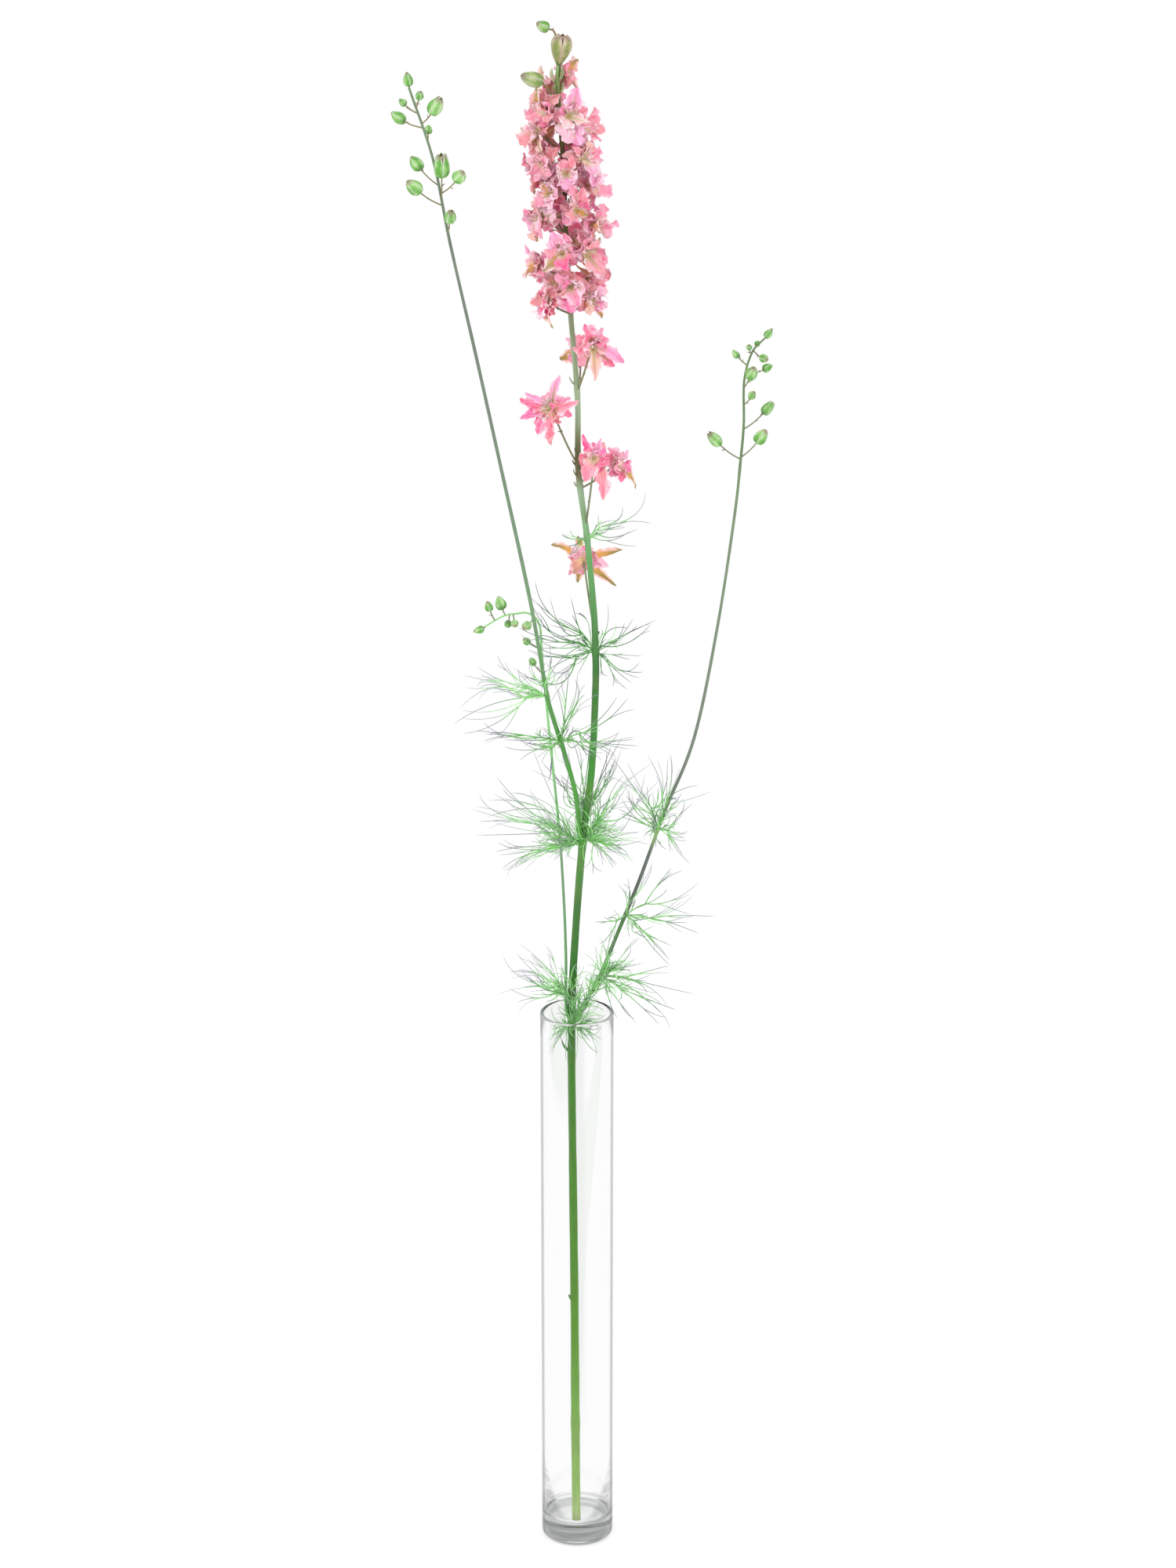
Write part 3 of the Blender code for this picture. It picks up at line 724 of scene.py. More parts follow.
sepal_back, tree, shader, output = material("sepal_back")
masks = anatomy_of(tree, 7.0, 0.85)
colour = blend(tree, 0.2, sepal_ground(tree, masks), PINK["pale"])
colour = streaked(tree, masks, colour)
ripe = calc(tree, "MULTIPLY", value_of(tree, "warm"), 0.95, clamp=True)
rib_colour = blend(tree, remap(tree, value_of(tree, "along"), 0.30, 0.85), PINK["orange"], PINK["olive"])
colour = stain(tree, colour, masks["Rib"], ripe, rib_colour)
colour = stain(tree, colour, masks["Tip"], ripe, PINK["olive"])
thin_finish(colour, tree, shader, output, masks["Vein"], 0.5)
print("sepal finishes:", sepal_front.name, sepal_back.name)

# %% [markdown]
# ## Green finishes
# Stems are finely fibred and change with height: yellow-green where they stood in the vase, deep green at
# the forks, grey-green further up. Leaf threads start fresh green and fade to a dry grey-violet at their
# tips. Buds are green with pale edges to their folded sepals. An image of fibres could be wrapped round each
# stem, but noise that is stretched along the stem needs no unwrapping and stays sharp.

# %% Plant fibre group
def ramp(tree, value, stops):
    """A colour ramp of (position, colour) stops."""
    node = add(tree, "ValToRGB", {"Fac": value})
    elements = node.color_ramp.elements
    while len(elements) < len(stops):
        elements.new(1.0)
    for element, (position, colour) in zip(elements, stops):
        element.position, element.color = position, colour
    return node.outputs["Color"]


fibre, given, found = group("plant_fibre", {"Fineness": 1.0}, ["Fibre", "Patch"])
own = add(fibre, "TexCoord").outputs["Object"]
drawn = add(fibre, "Mapping", {"Vector": own, "Scale": (1500, 1500, 30)}).outputs[0]
put(fibre, found, "Fibre", remap(fibre, noise(fibre, drawn, given.outputs["Fineness"], 2.0), 0.3, 0.7))
put(fibre, found, "Patch", remap(fibre, noise(fibre, own, 90.0, 3.0), 0.45, 0.68))


def fibre_of(tree, fineness=1.0):
    return add(tree, "Group", {"Fineness": fineness}, node_tree=fibre).outputs


print("group", fibre.name, "draws fine lines along Z")

# %% Stem finish
# Painted shade: the colour darkens in the grooves between the fibres, where the bump sinks.
FIBRE_GROOVE_PAINTED_SHADE = 0.84, 0.88, 0.82, 1  # the grooves between the fibres are this much darker
FIBRE_DEPTH = 0.12 * MM


def stem_finish(name, stops, patch_colour, patch_share):
    """A fibred stem whose colour follows its height in millimetres, with drier patches."""
    made, tree, shader, _ = material(name)
    share = calc(tree, "DIVIDE", xyz(tree, "Object")["Z"], cad_high.z)
    colour = ramp(tree, share, [(z * MM / cad_high.z, paint(*swatch)) for z, swatch in stops])
    marks = fibre_of(tree)
    colour = stain(tree, colour, marks["Patch"], patch_share, paint(*patch_colour))
    # painted shade in the fibre grooves
    groove_painted_shade = blend(tree, 1.0, colour, FIBRE_GROOVE_PAINTED_SHADE, "MULTIPLY")
    put(tree, shader, "Base Color", blend(tree, marks["Fibre"], groove_painted_shade, colour))
    matt(shader, 0.5)
    shader.inputs["Sheen Weight"].default_value = 0.12
    shader.inputs["Sheen Roughness"].default_value = 0.4
    bump = add(tree, "Bump", {"Height": marks["Fibre"], "Strength": 0.4, "Distance": FIBRE_DEPTH})
    put(tree, shader, "Normal", bump.outputs[0])
    return made


print("the fibres are", round(FIBRE_DEPTH / MM, 2), "mm deep")

# %% Stem colours
main_green = stem_finish("main_stem_green", [
    (12, (206, 230, 150)), (32, (160, 208, 90)), (90, (124, 188, 62)), (125, (106, 172, 44)),
    (170, (92, 164, 36)), (285, (76, 148, 30)),
    (305, (48, 106, 34)), (335, (50, 108, 40)), (370, (62, 112, 54)), (400, (80, 136, 62)),
    (450, (60, 134, 48)), (500, (60, 112, 54)), (560, (92, 150, 88)), (600, (142, 168, 138)),
    (606, (116, 112, 84)), (612, (98, 94, 64)), (625, (108, 116, 76)), (636, (146, 168, 138)),
    (690, (140, 158, 124)), (720, (104, 116, 66)), (798, (104, 96, 60)), (806, (110, 114, 66)),
    (813, (122, 148, 86)), (820, (136, 172, 112))], (128, 112, 66), 0.15)
BRANCH_GREEN = {
    "left": stem_finish("left_branch_green", [
        (400, (76, 152, 56)), (470, (74, 142, 60)), (540, (108, 142, 104)), (640, (108, 124, 108)),
        (740, (106, 118, 104)), (820, (120, 140, 110))], (112, 104, 106), 0.25),
    "right": stem_finish("right_branch_green", [
        (300, (108, 176, 88)), (330, (104, 160, 84)), (346, (84, 116, 78)), (362, (74, 122, 60)),
        (372, (86, 92, 86)), (400, (98, 104, 100)), (409, (146, 176, 100)), (417, (104, 124, 98)),
        (440, (110, 120, 108)), (560, (116, 134, 108)), (680, (100, 128, 78))], (108, 106, 110), 0.3),
    "back": stem_finish("back_branch_green", [
        (310, (112, 172, 104)), (380, (118, 150, 116)), (440, (134, 196, 126)), (525, (144, 202, 130))],
        (120, 128, 120), 0.25)}
stalk_brown = stem_finish("stalk_green", [
    (480, (120, 146, 100)), (600, (124, 130, 96)), (840, (144, 128, 92))], (112, 80, 80), 0.45)
print("branch finishes:", [finish.name for finish in BRANCH_GREEN.values()])

# %% Thread finish
thread_green, tree, shader, output = material("thread_green")
tone = value_of(tree, "tone")
fresh = blend(tree, tone, paint(182, 240, 164), paint(92, 164, 80))
dry = blend(tree, tone, paint(190, 186, 200), paint(100, 98, 120))
marks = fibre_of(tree)
fading = calc(tree, "ADD", value_of(tree, "along"), times(tree, marks["Patch"], 0.2))
colour = blend(tree, remap(tree, fading, 0.30, 0.90), fresh, dry)
thin_finish(colour, tree, shader, output, marks["Fibre"], 0.2, 0.3)
print("threads dry out from 0.3 of their way to their tips")

# %% Bud finish
bud_skin, tree, shader, output = material("bud_skin")
masks = anatomy_of(tree, 5.0, 0.25)
warm, along = value_of(tree, "warm"), value_of(tree, "along")
green = blend(tree, masks["Mottle"], paint(116, 182, 82), paint(174, 218, 140))
tan = blend(tree, masks["Mottle"], paint(162, 160, 104), paint(206, 184, 150))
rib = blend(tree, warm, paint(96, 178, 74), paint(134, 152, 78))
seam = blend(tree, warm, paint(242, 248, 230), paint(226, 196, 178))
pale_edge = times(tree, masks["Margin"], remap(tree, along, 0.68, 0.95))
colour = blend(tree, warm, green, tan)
for mask, share, other in (
        (masks["Rib"], 0.5, rib), (masks["Margin"], 0.5, seam), (masks["Vein"], 0.15, paint(84, 134, 70)),
        (fall(tree, along, 0.0, 0.22), 0.7, paint(104, 166, 84)), (pale_edge, 0.8, paint(250, 244, 240)),
        (masks["Tip"], 0.55, paint(180, 140, 132))):
    colour = stain(tree, colour, mask, share, other)
thin_finish(colour, tree, shader, output, masks["Vein"], 0.4, 0.3)
print("bud finish:", bud_skin.name)

# %% Stamen finish
stamen, tree, shader, output = material("stamen")
marks = fibre_of(tree, 2.0)
anther = blend(tree, marks["Patch"], paint(196, 168, 84), paint(136, 112, 60))
tipped = remap(tree, value_of(tree, "along"), 0.6, 0.8)
put(tree, shader, "Base Color", blend(tree, tipped, paint(240, 234, 196), anther))
matt(shader, 0.7)
print("green finishes:", [m.name for m in bpy.data.materials if "green" in m.name])

# %% [markdown]
# ## Stems and branches
# A larkspur stem is a tube with fine ribs, a little thicker at each node where a leaf or a branch leaves it.
# A curve with a bevel could draw it. A tube of rings was chosen because each ring can have its own ribs,
# swelling and wobble. The routes are those of the solids, in millimetres, so the skins lie exactly where the
# solids stand.

# %% Routes
ROUTES = {
    "main": [(-0.5, -10, 12.5), (-1, -4, 70), (-1.5, 2, 146), (-2.5, 8, 230), (-3, 14, 305),
             (-0.5, 18, 358), (3.5, 20, 409), (8, 22, 446), (10, 24, 490), (10, 24, 511),
             (9, 25, 534), (5.5, 25, 573), (1, 25, 609), (0.5, 25, 649), (-3, 24, 693),
             (-5.5, 24, 738), (-7, 23, 776), (-9, 23, 802), (-9.5, 23, 816)],
    "left": [(3.4, 19.6, 404), (1.5, 17, 411), (-0.5, 15, 433), (-6, 12, 456), (-14, 8, 484),
             (-17, 6, 500), (-24.5, 0, 547), (-38.5, -10, 618), (-50.5, -18, 678), (-63, -25, 738),
             (-71, -28, 781), (-82.5, -29, 817)],
    "right": [(-2.5, 13.5, 300), (0.5, 13, 308), (11.5, 14, 328), (22.5, 17, 355), (34, 20, 384),
              (47, 25, 420), (63, 30, 461), (75, 36, 521), (83.5, 41, 580), (86.5, 43, 610),
              (88, 44, 630), (88, 45, 653), (92, 45, 668), (98, 45, 675)],
    "back": [(-3, 14, 300), (-6, 15, 313), (-6, 20.5, 336), (-7, 28, 366), (-9.5, 34, 406), (-14.5, 41, 456),
             (-18.5, 45, 500), (-20, 46, 519), (-25.5, 46, 525.5), (-32, 46, 525.5), (-39, 45, 524.5),
             (-49.5, 43, 519)],
}
# the radius of each stem in millimetres at its foot and at its top
RADII = {"main": (2.4, 1.1), "left": (1.45, 0.6), "right": (1.2, 0.5), "back": (0.9, 0.4)}
SPRAY_FEET = {"left": 736 * MM, "right": 606 * MM, "back": 486 * MM}  # heights where the sprays begin
ROUTE_STEPS = 10

STEMS = {}
for name, route in ROUTES.items():
    line = smooth_line(route, ROUTE_STEPS)
    STEMS[name] = line, np.linspace(*RADII[name], len(line)) * MM

print("routes:", list(STEMS))

# %% Places on a stem
def at_height(name, height):
    """The centre and radius of a stem at a height in metres."""
    line, radii = STEMS[name]
    centre = np.array([np.interp(height, line[:, 2], line[:, i]) for i in range(3)])
    return centre, np.interp(height, line[:, 2], radii)


def beside(name, height, azimuth, depth=0.5):
    """A point in a stem's skin at a height and an azimuth, where a side piece grows out."""
    centre, radius = at_height(name, height)
    return centre + outward(azimuth) * radius * depth


def parted(name):
    """A side branch's line and radii, up to where its spray begins and from there on."""
    line, radii = STEMS[name]
    joint = np.argmax(line[:, 2] > SPRAY_FEET[name])
    return (line[:joint + 1], radii[:joint + 1]), (line[joint:], radii[joint:])


print("the main stem is", round(2 * at_height("main", 0.1)[1] / MM, 1), "mm thick at 100 mm")

# %% Stem skins
# heights in millimetres at which each stem is a little thicker
NODES = {"main": [68, 95, 143, 287, 317, 404, 411, 511, 573, 600, 613, 652],
         "left": [465, 491, 500, 735], "right": [330, 364, 411, 605], "back": [400, 484]}
NODE_SWELL, NODE_LENGTH = 0.18, 2.6 * MM
WAVE = 17 * MM
RIBS, RIB_HEIGHT, RIB_TWIST = 9, 0.03, 6
STEM_SIDES, BRANCH_SIDES = 27, 15


def stem_skin(shape, name, line, radii, sides=STEM_SIDES, seed=1):
    """A ribbed stem that swells at its nodes and wanders a little in thickness."""
    rng = np.random.default_rng(seed)
    height = line[:, 2]
    swell = 1 + sum(NODE_SWELL * np.exp(-((height - node * MM) / NODE_LENGTH) ** 2) for node in NODES[name])
    wander = 1 + 0.03 * np.sin(height / WAVE + rng.uniform(0, 6)) + 0.015 * rng.standard_normal(len(line))
    turn = np.linspace(0, math.tau, sides, endpoint=False)
    ribs = 1 + RIB_HEIGHT * np.cos(RIBS * turn[None, :] + height[:, None] * RIB_TWIST)
    tube(shape, line, radii * swell * wander, sides, ribs=ribs)


print("a stem has", RIBS, "ribs")

# %% Main stem
# height, azimuth, length and thickness of each stub
STUBS = [(143, -95, 3.4, 1.1), (287, -80, 7.5, 0.9), (97, 80, 1.4, 1.3), (68, -85, 1.6, 1.2),
         (612, -70, 4, 0.7), (520, 100, 2.2, 0.8), (655, -60, 6, 0.6), (657, 70, 7, 0.6), (603, 60, 7, 0.7),
         (606, -40, 6, 0.6), (609, 20, 8, 0.6), (614, 95, 5, 0.6), (600, -100, 4, 0.7), (617, -20, 7, 0.5)]


def stub(shape, name, height, azimuth, length, radius):
    """A short side stub that turns upward, as a broken leaf leaves behind."""
    root = beside(name, height * MM, azimuth)
    tip = root + (outward(azimuth) * 0.6 + UP * 0.8) * length * MM
    line = bow(root, tip, outward(azimuth) * 0.12 * length * MM, 4)
    tube(shape, line, np.linspace(radius, 0.35 * radius, 5) * MM, 8)


stem = Shape()
stem_skin(stem, "main", *STEMS["main"])
for each in STUBS:
    stub(stem, "main", *each)
piece("stem_main", stem, [main_green], "main_stem")
print("the main stem has", len(STUBS), "stubs")

# %% Branches
for name, finish in BRANCH_GREEN.items():
    skin = Shape()
    stem_skin(skin, name, *parted(name)[0], BRANCH_SIDES, seed=len(name))
    piece(f"branch_{name}", skin, [finish], f"{name}_branch")
print("branches:", list(BRANCH_GREEN))

# %% [markdown]
# ## Thread leaves
# A larkspur leaf is cut so finely that only threads are left. Hair could draw them, but each leaf has to be
# a mesh in the end, so every thread is a thin tube. From its foot a few arms fan out and fork into long
# rays, whose tips are those of the solids. More smooth rays fan out between them, and most carry side
# threads. Young threads stand along the arms, and the tangle in the mouth of the vase also grows from the
# stems there. All of them are grown with a fixed seed, so they are the same each time.

# %% Leaf tables
# Each leaf: its stem, the height and azimuth of its foot, and its arms, each with the tips of its long rays
LEAVES = {
    "main_upper": ("main", 573, 20, [
        [(36, 14, 600), (24, 16, 592)], [(32, 32, 576), (18, 10, 585)], [(-8, 28, 574), (-5, 14, 568)]]),
    "main_middle": ("main", 511, 0, [
        [(-22, 30, 548), (-14, 14, 544), (-3, 34, 538)], [(-24, 42, 532), (-31, 18, 526)],
        [(-34, 34, 499), (-14, 30, 498)], [(42, 18, 530), (30, 34, 526)], [(33, 10, 509), (27, 24, 490)]]),
    "left_high": ("left", 491, -60, [
        [(-52, 2, 509), (-42, 20, 510)], [(-62, 16, 482), (-53, 28, 490)], [(-60, -12, 485), (-42, -8, 500)],
        [(-14, -12, 526), (-24, -12, 516)]]),
    "left_low": ("left", 465, 10, [
        [(-49, 0, 479), (-46, 18, 466)], [(-33, -12, 474), (-15, -12, 450)], [(-4, -2, 508), (-1, 8, 500)],
        [(27, 8, 490), (22, -15, 478)], [(33, 12, 462), (19, 0, 470)]]),
    "fork_left": ("main", 404, -50, [
        [(-52, 10, 436), (-43, 26, 440)], [(-43, 40, 398), (-40, 2, 396)],
        [(-20, -10, 411), (-28, 38, 412)]]),
    "fork_right": ("main", 407, 55, [
        [(27, 10, 441), (36, -4, 452)], [(35, 6, 411), (24, 34, 392)], [(14, -7, 398), (30, -12, 435)]]),
    "fork_rear": ("main", 415, 165, [
        [(-4, 34, 463), (8, 42, 466)], [(24, 38, 458), (16, 52, 448)], [(-19, 52, 440), (-4, 56, 436)]]),
    "right_high": ("right", 411, -20, [
        [(27, 26, 448), (38, 14, 456)], [(50, 20, 455), (56, 8, 437)], [(62, 14, 429), (61, 20, 393)],
        [(24, 20, 430), (48, 2, 407)]]),
    "right_low": ("right", 364, 60, [
        [(57, 22, 388), (65, 0, 389)], [(75, 10, 366), (67, 26, 350)], [(49, 36, 341), (50, 0, 345)],
        [(40, 2, 398), (22, -4, 390)], [(10, 2, 366), (12, 0, 354)]]),
    "over_rim": ("right", 330, 40, [
        [(34, 14, 352), (36, -2, 344)], [(51, 28, 331), (64, 5, 323)], [(53, -15, 322), (45, 8, 304)],
        [(32, -12, 313), (14, -12, 334)]]),
    "rim_left": ("main", 317, -30, [
        [(-40, 14, 342), (-30, 2, 338)], [(-33, 24, 340), (-18, 22, 346)], [(-24, 28, 328), (-38, 18, 322)]]),
    "in_mouth": ("main", 301, -15, [
        [(-14.5, 9, 304), (-13, 9.5, 294)], [(6, 10, 295), (13, 9.5, 302)]]),
}
# How each leaf looks: from pale (0) to dark (1) threads, how thickly its side rays stand, whether its tips
# curl up (+) or hang (-), and the number, the reach and the upward pull of the young threads on its arms
LEAF_LOOKS = {
    "main_upper": (0.40, 0.6, 0.1, (5, 10, 0.2)), "main_middle": (0.80, 1.0, 0.35, (10, 16, 0.3)),
    "left_high": (0.10, 1.1, -0.25, (8, 15, 0.0)), "left_low": (0.50, 1.1, 0.1, (14, 16, 0.2)),
    "fork_left": (0.25, 1.8, 0.1, (60, 24, 0.3)), "fork_right": (0.25, 1.7, 0.25, (70, 28, 0.5)),
    "fork_rear": (0.70, 1.1, 0.25, (16, 24, 0.6)), "right_high": (0.35, 1.3, 0.2, (30, 18, 0.5)),
    "right_low": (0.45, 0.8, 0.0, (6, 15, 0.0)), "over_rim": (0.45, 0.7, 0.1, (30, 18, 0.2)),
    "rim_left": (0.20, 1.0, 0.0, (26, 16, 0.3)), "in_mouth": (0.10, 1.2, 0.1, (230, 22, 0.45)),
}
# Stretches of the stems, from one height to another, from which the tangle in the mouth also grows
ALONG_STEMS = {"in_mouth": [("main", 296, 330), ("right", 302, 342), ("right", 302, 342)]}
print(len(LEAVES), "leaves have", sum(len(leaf[3]) for leaf in LEAVES.values()), "arms")

# %% Threads
THREAD = 0.30 * MM  # radius of a ray at its foot
GLASS_GAP = 0.5 * MM
TONE_SPREAD = 0.4


def clear_of_glass(path):
    """True if a thread passes over the lip or stays to one side of the wall, and never runs through it."""
    out = np.hypot(path[:, 0], path[:, 1])
    near_wall = (out > vase_radius - VASE_WALL - GLASS_GAP) & (out < vase_radius + GLASS_GAP)
    return not (near_wall & (path[:, 2] < vase_height + GLASS_GAP)).any()


def thread(leaf, line, thick, thin, start, end, tone):
    """A thread that tapers along a line. Start and end say how far out on the leaf it lies."""
    radii = np.linspace(thick, thin, len(line))
    radii[-1] *= 0.3
    tube(leaf, line, radii, 4, along=(start, end), tone=tone)


def own_tone(tone, rng):
    return np.clip(tone + rng.uniform(-TONE_SPREAD, TONE_SPREAD), 0, 1)


def curl(foot, way, length, rng, bend, steps=9):
    """A line that sets out one way and keeps turning, more and more towards its tip."""
    across = unit(np.cross(way, rng.standard_normal(3)))
    turn = (bend * np.linspace(0, 1, steps) ** 1.4)[:, None]
    heading = way * np.cos(turn) + across * np.sin(turn)
    return np.vstack([foot, foot + np.cumsum(heading, axis=0) * length / steps])


print("a ray is", round(2 * THREAD / MM, 2), "mm thick at its foot")

# %% Side rays
TRIES = 6
SHORTEST = 5 * MM


def fork_off(leaf, line, count, thick, tone, rng, depth, lift, spread=(0.2, 0.6), ages=(0.8, 1.15),
             last=0.55):
    """Side rays that leave the lower half of a line, run on beside it and curl away at their tips."""
    total = np.linalg.norm(np.diff(line, axis=0), axis=1).sum()
    for _ in range(count):
        for _ in range(TRIES):
            place = rng.uniform(0.04, last)
            i = int(place * (len(line) - 1))
            share = place * (len(line) - 1) - i
            foot = line[i] + (line[i + 1] - line[i]) * share
            way = sideways(unit(line[i + 1] - line[i]), rng, rng.uniform(*spread))
            way = unit(way + UP * lift * 0.5)
            length = max(total * (1 - place) * rng.uniform(0.5, 1.05), SHORTEST)
            path = curl(foot, way, length, rng, rng.uniform(0.1, 0.9))
            if clear_of_glass(path):
                break
        else:
            continue
        own = own_tone(tone, rng)
        thread(leaf, path, thick, 0.4 * thick, 0.15 + 0.5 * place, rng.uniform(*ages), own)
        if depth:
            fork_off(leaf, path, rng.integers(0, 3), thick * 0.85, tone, rng, depth - 1, lift)


print("a side ray that meets the glass is tried", TRIES, "times")

# %% Fans and tufts
def fan_out(leaf, arm, tips, count, tone, rng):
    """Long smooth rays from an arm towards places round and between its tips."""
    for _ in range(count):
        start = arm[rng.integers(1, len(arm))]
        one, other = tips[rng.integers(len(tips), size=2)]
        goal = one + (other - one) * rng.random()
        length = np.linalg.norm(goal - start)
        goal = start + (goal - start) * rng.uniform(0.45, 0.95) + rng.standard_normal(3) * 0.16 * length
        ray = bow(start, goal, rng.standard_normal(3) * 0.09 * length, 12)
        if clear_of_glass(ray):
            own = own_tone(tone, rng)
            thread(leaf, ray, THREAD, 0.4 * THREAD, 0.05, rng.uniform(0.8, 1.15), own)
            fork_off(leaf, ray, rng.integers(0, 3), 0.8 * THREAD, tone, rng, 0, 0.0, (0.10, 0.35), last=0.6)


def tuft(leaf, arms, count, reach, rise, tone, rng):
    """Young threads that leave the arms of a leaf all along, loosely the way that the arms go."""
    for _ in range(count):
        line = arms[rng.integers(len(arms))]
        i = rng.integers(0, len(line) - 1)
        start = line[i] + rng.standard_normal(3) * 0.4 * MM
        way = unit(unit(line[i + 1] - line[i]) + 0.6 * rng.standard_normal(3) + UP * rise)
        path = curl(start, way, rng.uniform(0.4, 1.0) * reach, rng, rng.uniform(0.2, 1.7), 11)
        if clear_of_glass(path):
            own = own_tone(tone, rng)
            thread(leaf, path, THREAD, 0.45 * THREAD, 0.0, rng.uniform(0.3, 0.85), own)
            fork_off(leaf, path, rng.integers(0, 3), 0.75 * THREAD, tone, rng, 0, rise, ages=(0.4, 0.9))


print("rays fan out between", sum(len(arm) for leaf in LEAVES.values() for arm in leaf[3]), "listed tips")

# %% Growing a leaf
ARM_SHARE = 0.30  # how far along the way to its tips an arm forks
IN_FRONT = outward(0) * 2.0 * MM  # the tangle grows from just in front of the stems


def grow_leaf(carrier, height, azimuth, arms, tone, density, lift, tufted, seed, stretches):
    """A whole leaf: arms, their listed rays, the rays between them and the young threads."""
    rng = np.random.default_rng(seed)
    leaf = Shape()
    foot = beside(carrier, height * MM, azimuth)
    arm_lines = []
    for arm in arms:
        tips = np.array(arm, float) * MM
        fork = foot + (tips.mean(0) - foot) * ARM_SHARE
        arm_line = bow(foot, fork, UP * 0.05 * np.linalg.norm(fork - foot), 6)
        arm_lines.append(arm_line)
        thread(leaf, arm_line, 1.6 * THREAD, 1.2 * THREAD, 0.0, 0.12, tone)
        fork_off(leaf, arm_line, round(1.5 * density), THREAD, tone, rng, 1, lift)
        fan_out(leaf, arm_line, tips, round(3 * density), tone, rng)
        for tip in tips:
            length = np.linalg.norm(tip - fork)
            sag = (-UP * (0.03 + 0.35 * lift) + rng.standard_normal(3) * 0.09) * length
            ray = bow(fork, tip, sag, 12)
            thread(leaf, ray, 1.15 * THREAD, 0.45 * THREAD, 0.12, 1.0, tone)
            fork_off(leaf, ray, round(2 * density), 0.9 * THREAD, tone, rng, 0, lift, (0.10, 0.38))
    for stem, low, high in stretches:
        line, _ = STEMS[stem]
        part = (line[:, 2] > low * MM) & (line[:, 2] < high * MM)
        arm_lines.append(line[part] + IN_FRONT)
    count, reach, rise = tufted
    tuft(leaf, arm_lines, count, reach * MM, rise, 0.6 * tone, rng)
    return leaf


threads = 0
for seed, (name, placing) in enumerate(LEAVES.items(), 40):
    leaf = grow_leaf(*placing, *LEAF_LOOKS[name], seed, ALONG_STEMS.get(name, ()))
    threads += len(leaf.points)
    piece(f"threads_{name}", leaf, [thread_green], f"leaf_{name}")
print(len(LEAVES), "leaves of", threads, "threads")

# %% [markdown]
# ## A sheet that folds and ruffles
# The sepal comes before the buds, because the bracts below the top bud are small sepals too. A sepal could be
# draped as cloth, but a dried one has set in its folds, and a grid bent by formulas keeps its outline exact.
# The grid follows a curved midrib: narrow at its foot, widest past the middle and pointed at its tip. Then it
# is cupped, ruffled along its margins, twisted and crumpled, each by its own random amount, because no two
# dried sepals fold alike.

# %% A sepal
ROWS, COLUMNS = 21, 13
PAPER = 0.15 * MM
RIB_THICK, RIB_WIDE = 1.6, 0.16
TWIST, TURNED = 35, 12  # degrees, at most: along the sepal, and all of it


def ruffles(u, v, rng):
    """Waves of the margin, folds of the whole sheet, and how ragged its outline is."""
    phase = rng.uniform(0, 6, 8)
    waves = rng.uniform(1.4, 2.4)
    flank = np.sign(v)
    wave = np.sin(math.tau * waves * u + phase[0] + 2.1 * flank)
    wave = wave + 0.50 * np.sin(math.tau * 2.3 * waves * u + phase[1] - 1.3 * flank)
    wave = wave + 0.28 * np.sin(math.tau * 4.1 * waves * u + phase[5] + 0.7 * flank)
    fold = np.sin(3.4 * v + 3.0 * u + phase[2]) * 0.24 + np.sin(8 * v - 6 * u + phase[3]) * 0.16
    ragged = 0.19 * np.sin(13 * u + phase[4] + flank) + 0.13 * np.sin(31 * u + phase[6] - flank)
    return wave, fold, ragged


def sepal(shape, foot, tip, facing, width, rng, tone, warm, ruffle=0.6, cup=0.25, arch=0.25, slots=(0, 1),
          streak=0.0):
    """A ruffled sepal from foot to tip. Its front looks towards facing, and its middle arches that way."""
    reach = tip - foot
    length = np.linalg.norm(reach)
    side = unit(np.cross(facing, reach))
    u = np.linspace(0, 1, ROWS)[:, None]
    v = np.linspace(-1, 1, COLUMNS)[None, :]
    knee = foot + reach * rng.uniform(0.35, 0.55) + unit(facing) * arch * length
    spine = curve(foot, knee + side * rng.uniform(-0.14, 0.14) * length, tip, ROWS - 1)
    face = np.cross(unit(np.gradient(spine, axis=0)), side)
    twist = math.radians(rng.uniform(-TWIST, TWIST)) * u**1.3 + math.radians(rng.uniform(-TURNED, TURNED))
    opening = 0.24 + 0.76 * np.sin(np.minimum(u / 0.55, 1) * math.pi / 2)
    half = width / 2 * np.maximum(opening * (1 - u ** rng.uniform(1.6, 3.4)) ** 0.7, 0.03)
    wave, fold, ragged = ruffles(u, v, rng)
    crease = rng.uniform(-0.1, 0.6) * np.abs(v)
    margin = np.abs(v) ** 1.8 * np.sqrt(u)
    lift = half * (cup * v**2 + crease + 0.55 * ruffle * wave * margin + 0.9 * ruffle * fold * np.sqrt(u))
    wide = half * v * (1 + ragged * np.abs(v))
    level = wide * np.cos(twist) - lift * np.sin(twist)
    raised = wide * np.sin(twist) + lift * np.cos(twist)
    middle = spine[:, None] + level[..., None] * side + raised[..., None] * face[:, None]
    rib = 1 + RIB_THICK * np.exp(-((v / RIB_WIDE) ** 2)) * (1 - 0.6 * u)
    sheet(shape, middle, PAPER * rib, slots, along=u, across=v, tone=tone, warm=warm, streak=streak)


print("a sepal is", round(PAPER / MM, 2), "mm thick, and thicker along its midrib")

# %% [markdown]
# ## Buds
# A bud is five sepals folded over each other. It could be one egg with painted seams, but real folds also
# shape its outline and its shadows. So it is built as five shells round one axis, each lying over the next
# like roof tiles, with a core that closes the gaps between them. Their pale edges draw the seams. A bud that
# is about to open lets its tips part.

